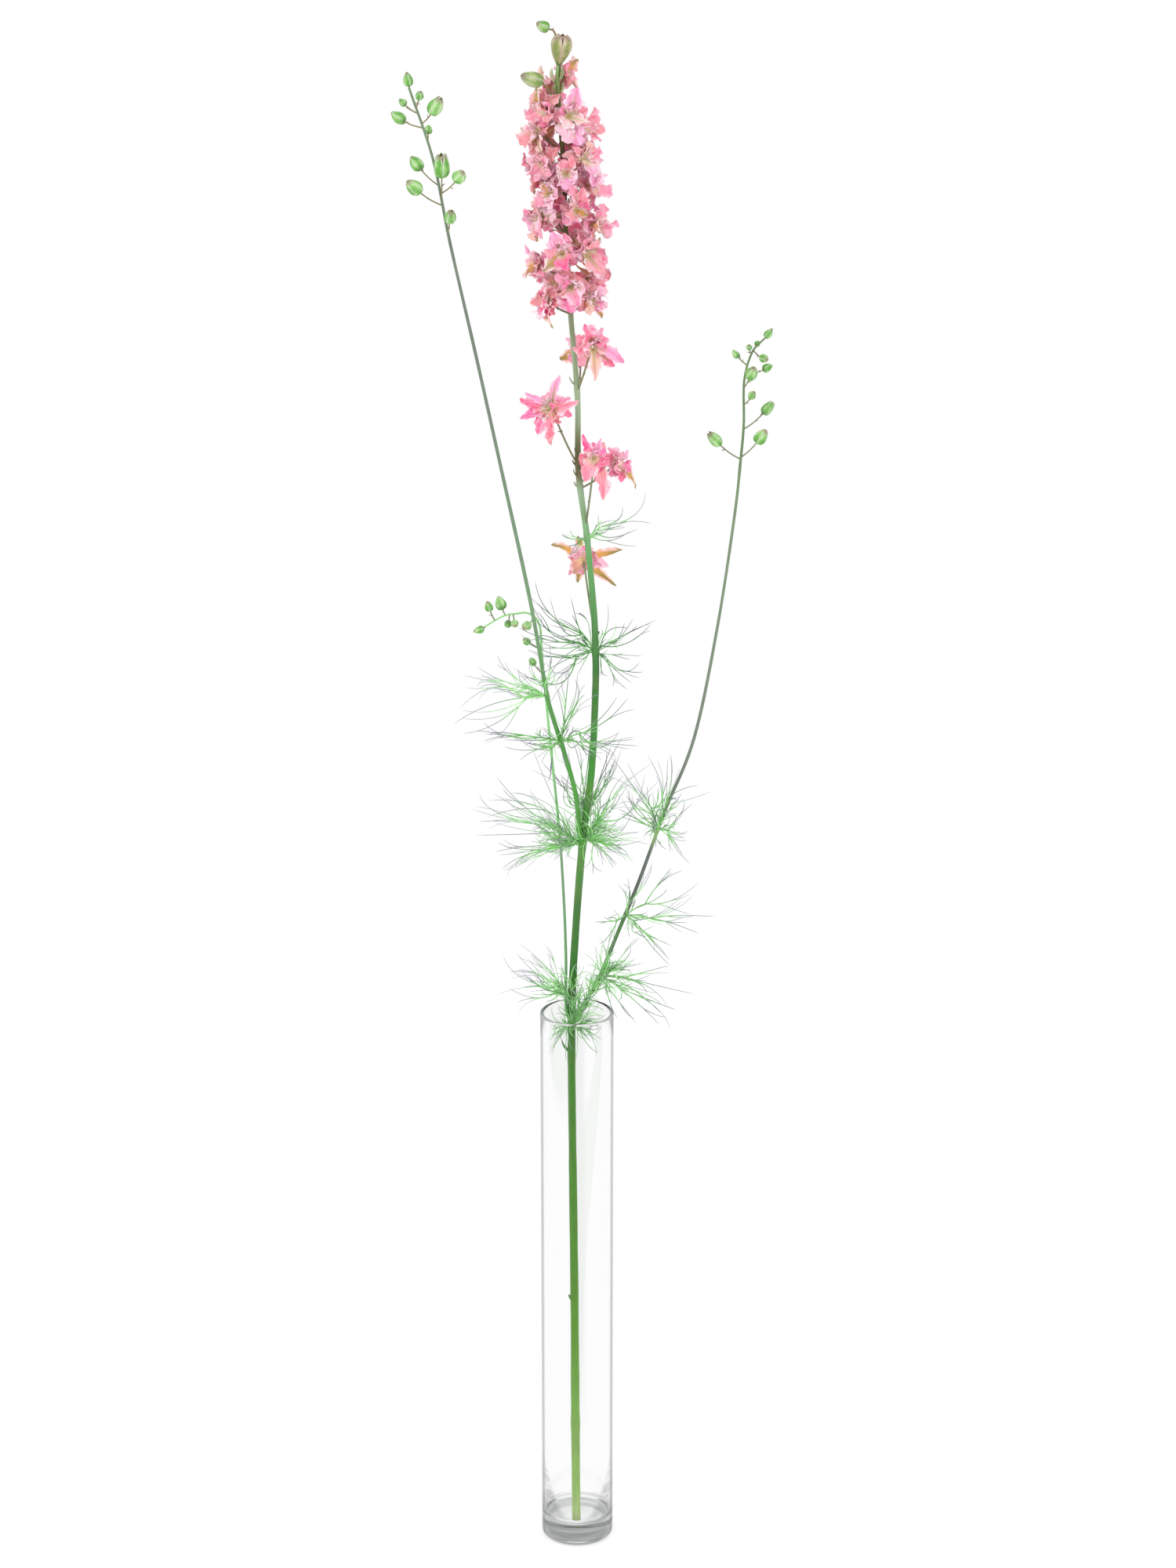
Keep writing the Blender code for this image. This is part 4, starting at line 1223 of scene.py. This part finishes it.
# %% A bud
SHELLS = 5
BUD_ROWS, BUD_COLUMNS = 10, 7
SHELL = 0.22 * MM
BUD_SPAN = math.radians(47)  # half the angle that one folded sepal covers
LAP = 0.3 * MM  # how far one edge of a shell stands out over its neighbour


def around(side, rise, turn):
    """The direction at an angle from side towards rise."""
    return math.cos(turn) * side + math.sin(turn) * rise


def bud(shape, centre, direction, length, width, rng, parting=0.0, warm=0.0, slot=0, shoulder=0.8):
    """A bud round its centre. A high shoulder puts its widest place nearer the tip."""
    direction = unit(direction)
    side, rise = axes_of(direction, rng.uniform(0, 6))
    u = np.linspace(0, 1, BUD_ROWS)[:, None]
    v = np.linspace(-1, 1, BUD_COLUMNS)[None, :]
    round_off = np.sin(math.pi * u**shoulder) ** 0.62 * (1 - 0.25 * u * (shoulder < 1))
    for i in range(SHELLS):
        turn = math.tau * i / SHELLS + v * BUD_SPAN * (1 - 0.55 * u**3) + 0.15 * u
        radius = width / 2 * (0.10 + 0.93 * round_off) + LAP * v * (1 - u)
        radius = radius + parting * width * u**3 * (1 - 0.35 * np.abs(v))
        level = length * (u - 0.5) * (1 - 0.06 * v**2 * u) + rng.uniform(-0.2, 0.2) * MM * u
        ring = np.cos(turn)[..., None] * side + np.sin(turn)[..., None] * rise
        middle = centre + radius[..., None] * ring + level[..., None] * direction
        sheet(shape, middle, SHELL, (slot, slot), along=u, across=v, tone=rng.random(), warm=warm)
    core = centre + (u - 0.5) * 0.92 * length * direction
    tube(shape, core, width / 2 * (0.05 + 0.85 * round_off[:, 0]), 10, slot=slot, across=0.6, tone=0.5,
         warm=min(warm + 0.3, 1.0))


print("one bud has", SHELLS * 2 * (BUD_ROWS - 1) * (BUD_COLUMNS - 1), "faces on its shells")

# %% A stalk
def stalk(shape, line, thick, thin, slot, rng, bracts=2):
    """A thin stalk with its pair of small bracts."""
    tube(shape, line, np.linspace(thick, thin, len(line)), 6, slot=slot)
    for _ in range(bracts):
        place = line[int(len(line) * rng.uniform(0.4, 0.8))]
        way = sideways(unit(line[-1] - line[0]), rng, 0.7) * rng.uniform(1.6, 3.2) * MM
        radii = np.linspace(0.8 * thin, 0.3 * thin, 4)
        tube(shape, bow(place, place + way, way * 0.1, 3), radii, 4, slot=slot)


def mm(point):
    """A listed point in metres."""
    return np.array(point, float) * MM


print("a point 1, 2 and 3 mm out is", mm((1, 2, 3)))

# %% Bud tables
# Each bud: its centre, length and width, and where its stalk starts: a height on the stem, or a point
SPRAYS = {
    "left": [
        ((-83, -29, 821), 7, 5, 815), ((-86, -24, 809), 4.5, 3.5, 804), ((-77, -34, 814), 5, 4, 807),
        ((-69, -36, 809), 11, 7.5, 799), ((-88.5, -20, 801), 9, 6, 797), ((-73.5, -20, 795), 5, 4, 790),
        ((-80, -17, 777.5), 9, 6.5, 768), ((-66.5, -35, 779), 13, 8, 761), ((-57.5, -40, 775), 8, 7, 764),
        ((-80.5, -36, 769), 10, 7.5, 758), ((-62.5, -35, 754), 8, 6, 744)],
    "right": [
        ((100.5, 45, 678), 6, 4, 674), ((83.5, 50, 666), 5, 3.5, 661), ((90, 37, 672.5), 3.5, 3, 667),
        ((95, 53, 671), 4, 3, 670), ((98, 36, 666.5), 6, 4.5, 669), ((91.5, 36, 659), 9, 6.5, 649),
        ((100.5, 53, 658), 6, 4.5, 656), ((92, 37, 647), 6, 4, 640), ((101, 54, 636), 8.5, 5.5, 627),
        ((72.5, 36, 623.5), 10, 6, 611), ((97, 36, 625), 9.5, 7, 612)],
    "back": [
        ((-52.5, 42, 517.5), 6, 4, (-49, 43, 519)), ((-47, 41, 531), 6, 4.5, (-44, 44, 522.5)),
        ((-41, 51, 530), 8, 6, (-38, 45, 524.5)), ((-33, 38, 522), 5, 4, (-34, 46, 525)),
        ((-37, 51, 518), 5, 4, (-36, 45.5, 525)), ((-27, 37, 521), 7, 5, (-23, 46, 523.5)),
        ((-27, 40, 512), 5, 4, (-19, 45.5, 506)), ((-24, 52, 497), 5, 4, (-18, 44.5, 492))],
}
# how far the tips of a bud part, where they do
PARTING_BUDS = {("left", 3): 0.1, ("left", 7): 0.22, ("left", 10): 0.12, ("right", 8): 0.16,
                ("right", 9): 0.18}
print("buds in the sprays:", sum(len(buds) for buds in SPRAYS.values()))

# %% Bud sprays
STALK = 0.38 * MM

for name, buds in SPRAYS.items():
    rng = np.random.default_rng(len(buds) + ord(name[0]))
    spray = Shape()
    stem_skin(spray, name, *parted(name)[1], BRANCH_SIDES)
    for i, (centre, length, width, start) in enumerate(buds):
        centre = mm(centre)
        foot = mm(start) if isinstance(start, tuple) else at_height(name, start * MM)[0]
        elbow = foot + (centre - foot) * 0.45 - UP * 0.1 * np.linalg.norm(centre - foot)
        direction = unit(centre - elbow)
        heel = centre - direction * length * 0.46 * MM
        stalk(spray, curve(foot, elbow, heel, 7), 1.1 * STALK, 0.9 * STALK, 2, rng)
        bud(spray, centre, direction, length * MM, width * MM, rng, PARTING_BUDS.get((name, i), 0.0), slot=1)
    finishes = [BRANCH_GREEN[name], bud_skin, stalk_brown]
    piece(f"buds_{name}", spray, finishes, f"{name}_bud_spray")
print("bud sprays:", list(SPRAYS))

# %% [markdown]
# ## The three top buds
# Above the spike stand a small bud, one that begins to open and one that leans to the side. The stem below
# the opening bud is a broad green neck with bracts round it, so it is drawn with that bud.

# %% The neck
NECK = [(-9.3, 23, 799), (-9.5, 23, 808), (-9.4, 22.9, 816), (-9, 22.8, 822)]
NECK_RADII = (1.3, 1.4, 1.1, 0.8)
# azimuth and height of each bract
BRACTS = [(-75, 811), (40, 813), (160, 812), (95, 806), (-40, 806), (80, 815)]


def neck(shape, rng):
    """The broad green neck below the open bud, with the bracts that stand round it."""
    line = smooth_line(NECK, 5)
    radii = np.interp(np.linspace(0, 3, len(line)), range(4), NECK_RADII) * MM
    tube(shape, line, radii, 14, slot=2)
    for turn, height in BRACTS:
        foot = line[np.abs(line[:, 2] - height * MM).argmin()] + outward(turn) * 1.2 * MM
        way = outward(turn) * 0.2 + UP
        tip = foot + way * rng.uniform(5, 8) * MM
        sepal(shape, foot, tip, outward(turn), 2.5 * MM, rng, 0.5, 0.55, 0.3, 0.6, 0.1, (0, 0))


print("the neck has", len(BRACTS), "bracts")

# %% Top buds
# The stalk's points, then the bud's centre, length, width, parting, warmth and shoulder
TOP_BUDS = {
    "small": ([(-9.5, 24, 806), (-9, 31.5, 826), (-11, 31, 836)], (-17, 28, 839.5), 7.5, 6, 0.0, 0.15, 0.8),
    "open": ([(-9.5, 23, 814), (-9, 23, 820)], (-7.8, 22, 828), 16, 9.5, 0.20, 0.85, 1.5),
    "side": ([(-9.5, 22.5, 801), (-13.5, 18, 808), (-17, 14.5, 813)], (-22.5, 10, 815.5), 14, 8,
             0.0, 0.5, 0.8),
}

for name, (knots, centre, length, width, parting, warm, shoulder) in TOP_BUDS.items():
    rng = np.random.default_rng(len(name))
    top = Shape()
    centre = mm(centre)
    direction = unit(centre - mm(knots[-1]))
    heel = (centre - direction * length * 0.47 * MM) / MM
    stalk(top, smooth_line([*knots, tuple(heel)], 4), 0.55 * MM, 0.5 * MM, 1, rng, 1)
    bud(top, centre, direction, length * MM, width * MM, rng, parting, warm, shoulder=shoulder)
    if name == "open":
        neck(top, rng)
    piece(f"bud_{name}", top, [bud_skin, stalk_brown, main_green], f"top_bud_{name}")
print("top buds:", list(TOP_BUDS))

# %% [markdown]
# ## Flowers
# A larkspur flower has five sepals that open like a star. The upper one ends behind the flower in a spur.
# Inside stand small pale petals and a tuft of stamens. One flower could be copied round the stem, but no two
# flowers of a spike open alike, so each is built by itself. The flowers in front have their sepals listed
# one by one, and those that hardly show get a star of random ones. A few folded sepals behind each flower
# fill the room up to the stem.

# %% Sepal looks
# What each sepal looks like: how hot its pink is, its warmth from lilac to peach, and the side that it shows
LOOKS = {"pale": (0.12, -0.15, (0, 1)), "lilac": (0.35, -0.75, (0, 1)), "pink": (0.50, 0.05, (0, 1)),
         "hot": (0.90, 0.0, (0, 1)), "magenta": (0.95, -0.5, (0, 1)), "coral": (0.70, 0.35, (0, 1)),
         "peach": (0.25, 0.85, (0, 1)), "cream": (0.0, 0.25, (0, 1)), "olive": (0.25, 1.0, (1, 1)),
         "tan": (0.20, 0.55, (1, 1))}
print("a sepal can look", list(LOOKS))

# %% Where sepals point
DEEPEST = 8.0
LEAN_BACK, LEAN_AHEAD = -1.5, 5.0


def opened(facing, sepals, rng, wider, taller):
    """The tips of sepals given as right and up in the front view, set back to stand square to facing.

    Each then leans forward or back by its own amount."""
    tips = []
    for right, up, _, _ in sepals:
        back = (2.0 - right * facing[0] - up * facing[2]) / (facing[1] if abs(facing[1]) > 0.2 else -0.2)
        tip = np.array([right * wider, np.clip(back, -DEEPEST, DEEPEST), up * taller])
        tips.append((tip + facing * rng.uniform(LEAN_BACK, LEAN_AHEAD)) * MM)
    return tips


def star(facing, rng, reach, pinks):
    """Five sepals at random turns for a flower whose sepals aren't listed."""
    side, rise = axes_of(facing)
    tips, sepals = [], []
    for i in range(5):
        turn = math.radians(90 + 72 * i + rng.uniform(-14, 14))
        lean = math.radians(rng.uniform(50, 98))
        way = around(side, rise, turn) * math.sin(lean) + facing * math.cos(lean)
        tips.append(way * reach * rng.uniform(0.85, 1.15))
        sepals.append((0, 0, reach / MM * rng.uniform(0.55, 0.75), rng.choice(pinks)))
    return tips, sepals


print("a sepal leans at most", LEAN_AHEAD, "mm forward")

# %% Stamens
FILAMENT = 0.11 * MM
ANTHER = np.array([0.10, 0.32, 0.4, 0.3, 0.10]) * MM  # radii along it
ANTHER_LENGTH = 1.0 * MM


def stamens(shape, heel, facing, rng, count, slot):
    """A tuft of thin filaments, each with an anther at its tip."""
    for _ in range(count):
        way = unit(facing + 0.45 * rng.standard_normal(3) - 0.25 * UP)
        length = rng.uniform(3.5, 6.5) * MM
        line = bow(heel, heel + way * length, -UP * 0.15 * length, 4)
        tube(shape, line, np.full(5, FILAMENT), 4, slot=slot, along=(0.0, 0.5))
        tip = np.linspace(-0.5, 0.5, 5)[:, None] * ANTHER_LENGTH * way + line[-1]
        tube(shape, tip, ANTHER, 5, slot=slot, along=(0.85, 1.0))


print("an anther is", round(2 * max(ANTHER) / MM, 1), "mm thick")

# %% Fillers, inner petals and spur
FILLERS = 6  # folded sepals between a flower and its stem
FILLER_REACH, FILLER_WIDTH = (7, 10), (8, 11)
PETAL_TURNS = 55, 125  # degrees, to the right and left of straight up
PETAL_REACH, PETAL_WIDTH = 8, 6
SPUR_REACH = 10
SPUR_RADII = np.array([1.4, 1.3, 1.1, 0.9, 0.75, 0.6, 0.5, 0.3])


def fillers(shape, heel, facing, side, rise, size, rng):
    """Folded sepals that lean back behind a flower."""
    for i in range(FILLERS):
        out = around(side, rise, math.tau * (i + rng.uniform(0.2, 0.8)) / FILLERS)
        tip = (out - facing * rng.uniform(0.0, 0.9)) * rng.uniform(*FILLER_REACH) * size * MM
        sepal(shape, heel, heel + tip, facing, rng.uniform(*FILLER_WIDTH) * size * MM, rng,
              rng.uniform(0.3, 1.0), rng.uniform(-0.6, 0.6), 0.9, rng.uniform(-0.2, 0.5), 0.2)


def inner_petals(shape, heel, facing, side, rise, size, rng):
    """The two small pale petals in the middle."""
    for turn in PETAL_TURNS:
        out = around(side, rise, math.radians(turn + rng.uniform(-20, 20)))
        tip = heel + (out * rng.uniform(0.6, 0.9) + facing * 0.6) * PETAL_REACH * size * MM
        sepal(shape, heel + out * 0.6 * MM, tip, facing, PETAL_WIDTH * size * MM, rng, rng.uniform(0.0, 0.3),
              0.1, 0.6, 0.4, 0.1, (0, 0), 0.4)


def spur(shape, heel, facing, size):
    """The hollow horn behind a flower, which rises as it goes back."""
    tip = heel + (UP * 0.45 - facing * 0.8) * SPUR_REACH * size * MM
    line = bow(heel + facing * 0.8 * MM, tip, -facing * 1.2 * MM, 7)
    tube(shape, line, SPUR_RADII * MM * size, 8, slot=1, along=(0.3, 0.9), across=0.3, tone=0.4, warm=0.5)


print("a spur tapers from", SPUR_RADII[0], "to", SPUR_RADII[-1], "mm in radius")

# %% A flower
HEEL = 2.5 * MM  # how far behind a flower's centre its sepals meet
BROADER = 1.12  # how much broader a sepal is than the gap it fills
STREAK_SHARE = 0.22  # share of the sepals with a green streak
VARIES = 0.12  # how far a sepal strays from the tone and warmth of its look
FLOWER_FINISHES = [sepal_front, sepal_back, stalk_brown, stamen]


def flower(shape, centre, facing, foot, rng, tips, sepals, size=1.0, stamen_count=0):
    """A whole flower: sepals, fillers, inner petals, stamens, spur and stalk."""
    heel = centre - facing * HEEL
    for tip, (_, _, width, look) in zip(tips, sepals):
        tone, warm, slots = LOOKS[look]
        shift = rng.uniform(-VARIES, VARIES, 2)
        start = heel + unit(tip) * 1.0 * MM
        streak = rng.uniform(0.5, 1.0) if rng.random() < STREAK_SHARE else 0.0
        sepal(shape, start, centre + tip, facing, BROADER * width * MM, rng, np.clip(tone + shift[0], 0, 1),
              np.clip(warm + shift[1], -1, 1), rng.uniform(0.45, 1.0), rng.uniform(-0.1, 0.55),
              rng.uniform(0.10, 0.40), slots, streak)
    side, rise = axes_of(facing, rng.uniform(-0.3, 0.3))
    fillers(shape, heel, facing, side, rise, size, rng)
    inner_petals(shape, heel, facing, side, rise, size, rng)
    stamens(shape, heel, facing, rng, stamen_count, 3)
    spur(shape, heel, facing, size)
    knee = (foot + heel) / 2 - UP * 0.1 * np.linalg.norm(heel - foot)
    stalk(shape, curve(foot, knee, heel, 8), 0.55 * MM, 0.5 * MM, 2, rng)


print("a flower wears", [finish.name for finish in FLOWER_FINISHES])

# %% [markdown]
# ## The spike
# Thirty flowers stand round the top of the stem. A spiral could place them, but here they have to stand
# where the solids stand. Each faces outward and nods a little more or less than its neighbour. The looks of
# the sepals change from one to the next, so that the spike is mottled with pale, hot and peach pinks.

# %% Spike table
# Each flower of the spike: height, azimuth and distance from the stem, as in the solids
SPIKE = [
    (815, 140, 8), (809, -135, 9), (799, -45, 12), (797, 20, 15), (796, 175, 11), (787, -62, 15),
    (789, 82, 12), (783, -130, 13), (777, 140, 13), (775, 50, 15), (772, -42, 15), (768, 6, 15),
    (766, -110, 15), (762, 178, 13), (757, -30, 14), (759, 72, 15), (751, 130, 14), (749, 25, 15),
    (744, -55, 16), (743, -150, 14), (739, 76, 16), (727, -8, 16), (728, 165, 14), (727, 44, 15),
    (720, -75, 17), (710, 4, 16), (712, 115, 15), (702, -50, 17), (702, 52, 14), (707, -150, 15)]
print(len(SPIKE), "flowers in the spike")

# %% Listed sepals
def listed(text):
    """Sepals from words: each has right, up and width in millimetres, and its look."""
    return [(*map(float, each[:3]), each[3]) for each in map(str.split, text.split(","))]


# The sepals of the flowers in front
OPEN = {
    1: "5 8 7 peach, 1 9 5 cream, 6 -1 6 pink, -1 -8 7 peach, 5 -8 6 tan",
    2: "2 9 5 cream, 4 3 7 cream, 7 -3 7 peach, -1 -4 6 peach",
    3: "-3 13 6.5 olive, -8 5.5 6 peach, 9 7 9 magenta, -10 -2.5 9 pink, 2 -8.5 10 hot, 10 0 9 coral",
    4: "4.5 14 9 lilac, 13.5 3 7 pink, 17 -5 7 coral, 8 -15 12 lilac, -1 -13.5 10 pale, 12 -4 6 cream, "
       "-5 -6 9 cream, -7 5 9 magenta",
    6: "2 6 8 pink, -10.5 2 4.5 olive, -7 -4.5 8 coral, -1 -9 8 coral, 6.5 -8.5 8 tan",
    7: "2 8 7 pink, 8 4 7 pink, 9 -4 6 coral, -3 -8 8 pale, 6 -9 9 pink",
    10: "1 9 8 peach, 9 3 7 pink, 2 -15 12 lilac, 11 -7 10 pale, -9 7 6 coral",
    11: "5.5 7 8 pink, -10.5 3 8 pale, -7 -6 8 pink, 9 -3 8 pink, 1 -8.5 11 pale",
    12: "5 9 7 coral, -4 7 8 coral, 8 -3 8 pale, 1 -8 10 lilac, -5 -3 10 pale",
    15: "4 7 8 coral, -5.5 6.5 5 olive, -11 -4 4 pink, -7 -7 9 pink, 7 -1 9 pale, 4.5 -6.5 9 pale",
    16: "0 9 8 pink, 7 6 8 pale, 8 -2 7 pink, -6 3 7 coral, 2.5 -5 4 olive",
    18: "1.5 13 9 coral, -7.5 14.5 8 pink, -11 0 8 coral, 4.5 6.5 10 hot, 8 -3 4.5 olive",
    19: "-6 6 8 pink, 2 -11 9 peach, 7 -8 9 pink, -9 -2 12 lilac, 12.5 5 12 pale",
    21: "-4 6 8 peach, 6 11 10 pink, 9 3 8 pink, 5 -5 9 pale, -5 -8 7 coral",
    22: "-7.5 12 12 lilac, 2 11.5 9 pink, -13 3 8 coral, 5 -8 9 hot, -14.5 -9 8 tan",
    24: "3 9 8 coral, -4 8 8 pink, 10 -12 10 coral, 12.5 -3 9 pink, 12 -6 6 hot, 10 7 6 olive",
    25: "-5 8 4 lilac, -5 -2 6 pink, 7 2 7 coral, 6 -5 8 pink, -1.5 -7 8 peach",
    26: "-3 5 9 magenta, 11 0 9 pale, 7 -9 10 pink, -8 -5 7 coral, 0.5 -13 14 magenta",
    28: "4 8 6 pink, 0.5 -8 12 pale, 6 -6 8 hot, 8 -13.5 5 olive, -6 -3 6 coral, -3 4 8 hot",
    29: "4 9 10 lilac, 12 3.5 2.5 peach, 10 -5.5 6 pale, 8 -11.5 4 olive, 5 -5 10 magenta, "
        "-4.5 -5.5 9 peach",
}
WITH_STAMENS = {4: 5, 6: 6, 10: 3, 12: 5, 15: 8, 18: 4, 21: 6, 24: 4, 26: 3, 29: 5}
print(len(OPEN), "flowers have listed sepals, and", len(WITH_STAMENS), "show stamens")

# %% The spike
HIDDEN_PINKS = ["pink", "pink", "pale", "hot", "lilac", "coral", "tan"]
STAR_REACH = 11.2 * MM
NOD, NOD_STEP = 0.3, 2.4
STALK_RISE = 9  # millimetres that a flower stands higher than the foot of its stalk
FOOT_DEPTH = 0.4  # share of the stem's radius at which the foot starts
IN_SPIKE = 0.68, 0.97  # how much of their listed reach the sepals take sideways and upward
YOUNGEST, YOUNG_SIZE = 2, 0.7  # the flowers at the very top are smaller

for i, (height, azimuth, distance) in enumerate(SPIKE):
    away = outward(azimuth)
    centre = at_height("main", height * MM)[0] + away * distance * MM
    facing = unit(away + UP * NOD * math.sin(NOD_STEP * i))
    foot = beside("main", (height - STALK_RISE) * MM, azimuth, FOOT_DEPTH)
    rng = np.random.default_rng(200 + i)
    if i + 1 in OPEN:
        sepals = listed(OPEN[i + 1])
        tips = opened(facing, sepals, rng, *IN_SPIKE)
    else:
        tips, sepals = star(facing, rng, STAR_REACH, HIDDEN_PINKS)
    size = YOUNG_SIZE if i < YOUNGEST else 1.0
    floret = Shape()
    flower(floret, centre, facing, foot, rng, tips, sepals, size, WITH_STAMENS.get(i + 1, 0))
    piece(f"flower_{i + 1:02d}", floret, FLOWER_FINISHES, f"spike_floret_{i + 1:02d}")
print("the spike runs from", SPIKE[-3][0], "to", SPIKE[0][0], "mm")

# %% [markdown]
# ## The lower flowers
# Below the spike six flowers stand further apart, wide open and hotter in colour. All their sepals are
# listed, because each flower is seen on its own.

# %% Lower flower table
# Centre, facing and stalk foot as in the solids, then the sepals as in the spike
LOWER = [
    ((9.5, 11, 679), (0.5, -0.8, -0.3), 652,
     "-5 3.5 6 pink, 13 -9 7 lilac, -0.5 -17 8 peach, 9.5 -11.5 7 hot, 3.5 2.5 6 hot, -7 13 7 hot"),
    ((2, 43, 668), (-0.2, 0.9, -0.4), 642,
     "-10 -2.5 6 olive, -7.5 6.5 5 pale, 3 5 7 peach, 1 -6 6 lilac, 7 -3 6 peach"),
    ((-14, 9, 646.5), (-0.5, -0.8, 0.2), 613,
     "7 16 6 lilac, 16 5 8 coral, -9.5 6 3 lilac, -13.5 3 7 hot, -6 -12 10 hot, 1 -16 8 coral, "
     "5 2 6 hot, -13 -6 6 magenta"),
    ((9.5, 7, 620), (0.1, -0.95, 0.1), 580,
     "-6 12 5 hot, 3 10 4 lilac, 5 6 6 magenta, 4 -19 8 coral, -5.5 -9.5 9 coral, 2.5 -6 9 hot, "
     "7 -2 7 hot"),
    ((22.5, 15, 615.5), (0.75, -0.6, 0.1), 600,
     "2.5 6.5 6 lilac, -6 0 6 pink, 5 -4 8 magenta, 6 -12.5 6 olive, 0.5 -8 8 hot"),
    ((3.5, 38, 558.5), (-0.1, 1.0, 0.1), 521,
     "13 -6 9 pale, -7 -10 6 hot, -16 6 5 olive, -2.5 10 5 olive, 19.5 3.5 6 olive, 17 -16 6 olive, "
     "-2.5 -14.5 5 olive"),
]
print(len(LOWER), "flowers below the spike have", sum(len(listed(row[3])) for row in LOWER), "sepals")

# %% The lower flowers
BELOW_SPIKE = 1.06, 1.12  # how much further than listed their sepals reach, sideways and upward
LOWER_STAMENS = 4, 0, 6, 3, 2, 5

for i, (centre, facing, start, sepals) in enumerate(LOWER):
    centre = mm(centre)
    facing = unit(np.array(facing, float))
    sepals = listed(sepals)
    away = centre - at_height("main", start * MM)[0]
    azimuth = math.degrees(math.atan2(away[0], -away[1]))
    floret = Shape()
    rng = np.random.default_rng(300 + i)
    foot = beside("main", start * MM, azimuth, FOOT_DEPTH)
    tips = opened(facing, sepals, rng, *BELOW_SPIKE)
    flower(floret, centre, facing, foot, rng, tips, sepals, 1.0, LOWER_STAMENS[i])
    piece(f"lower_flower_{i + 1}", floret, FLOWER_FINISHES, f"lower_floret_{i + 1}")
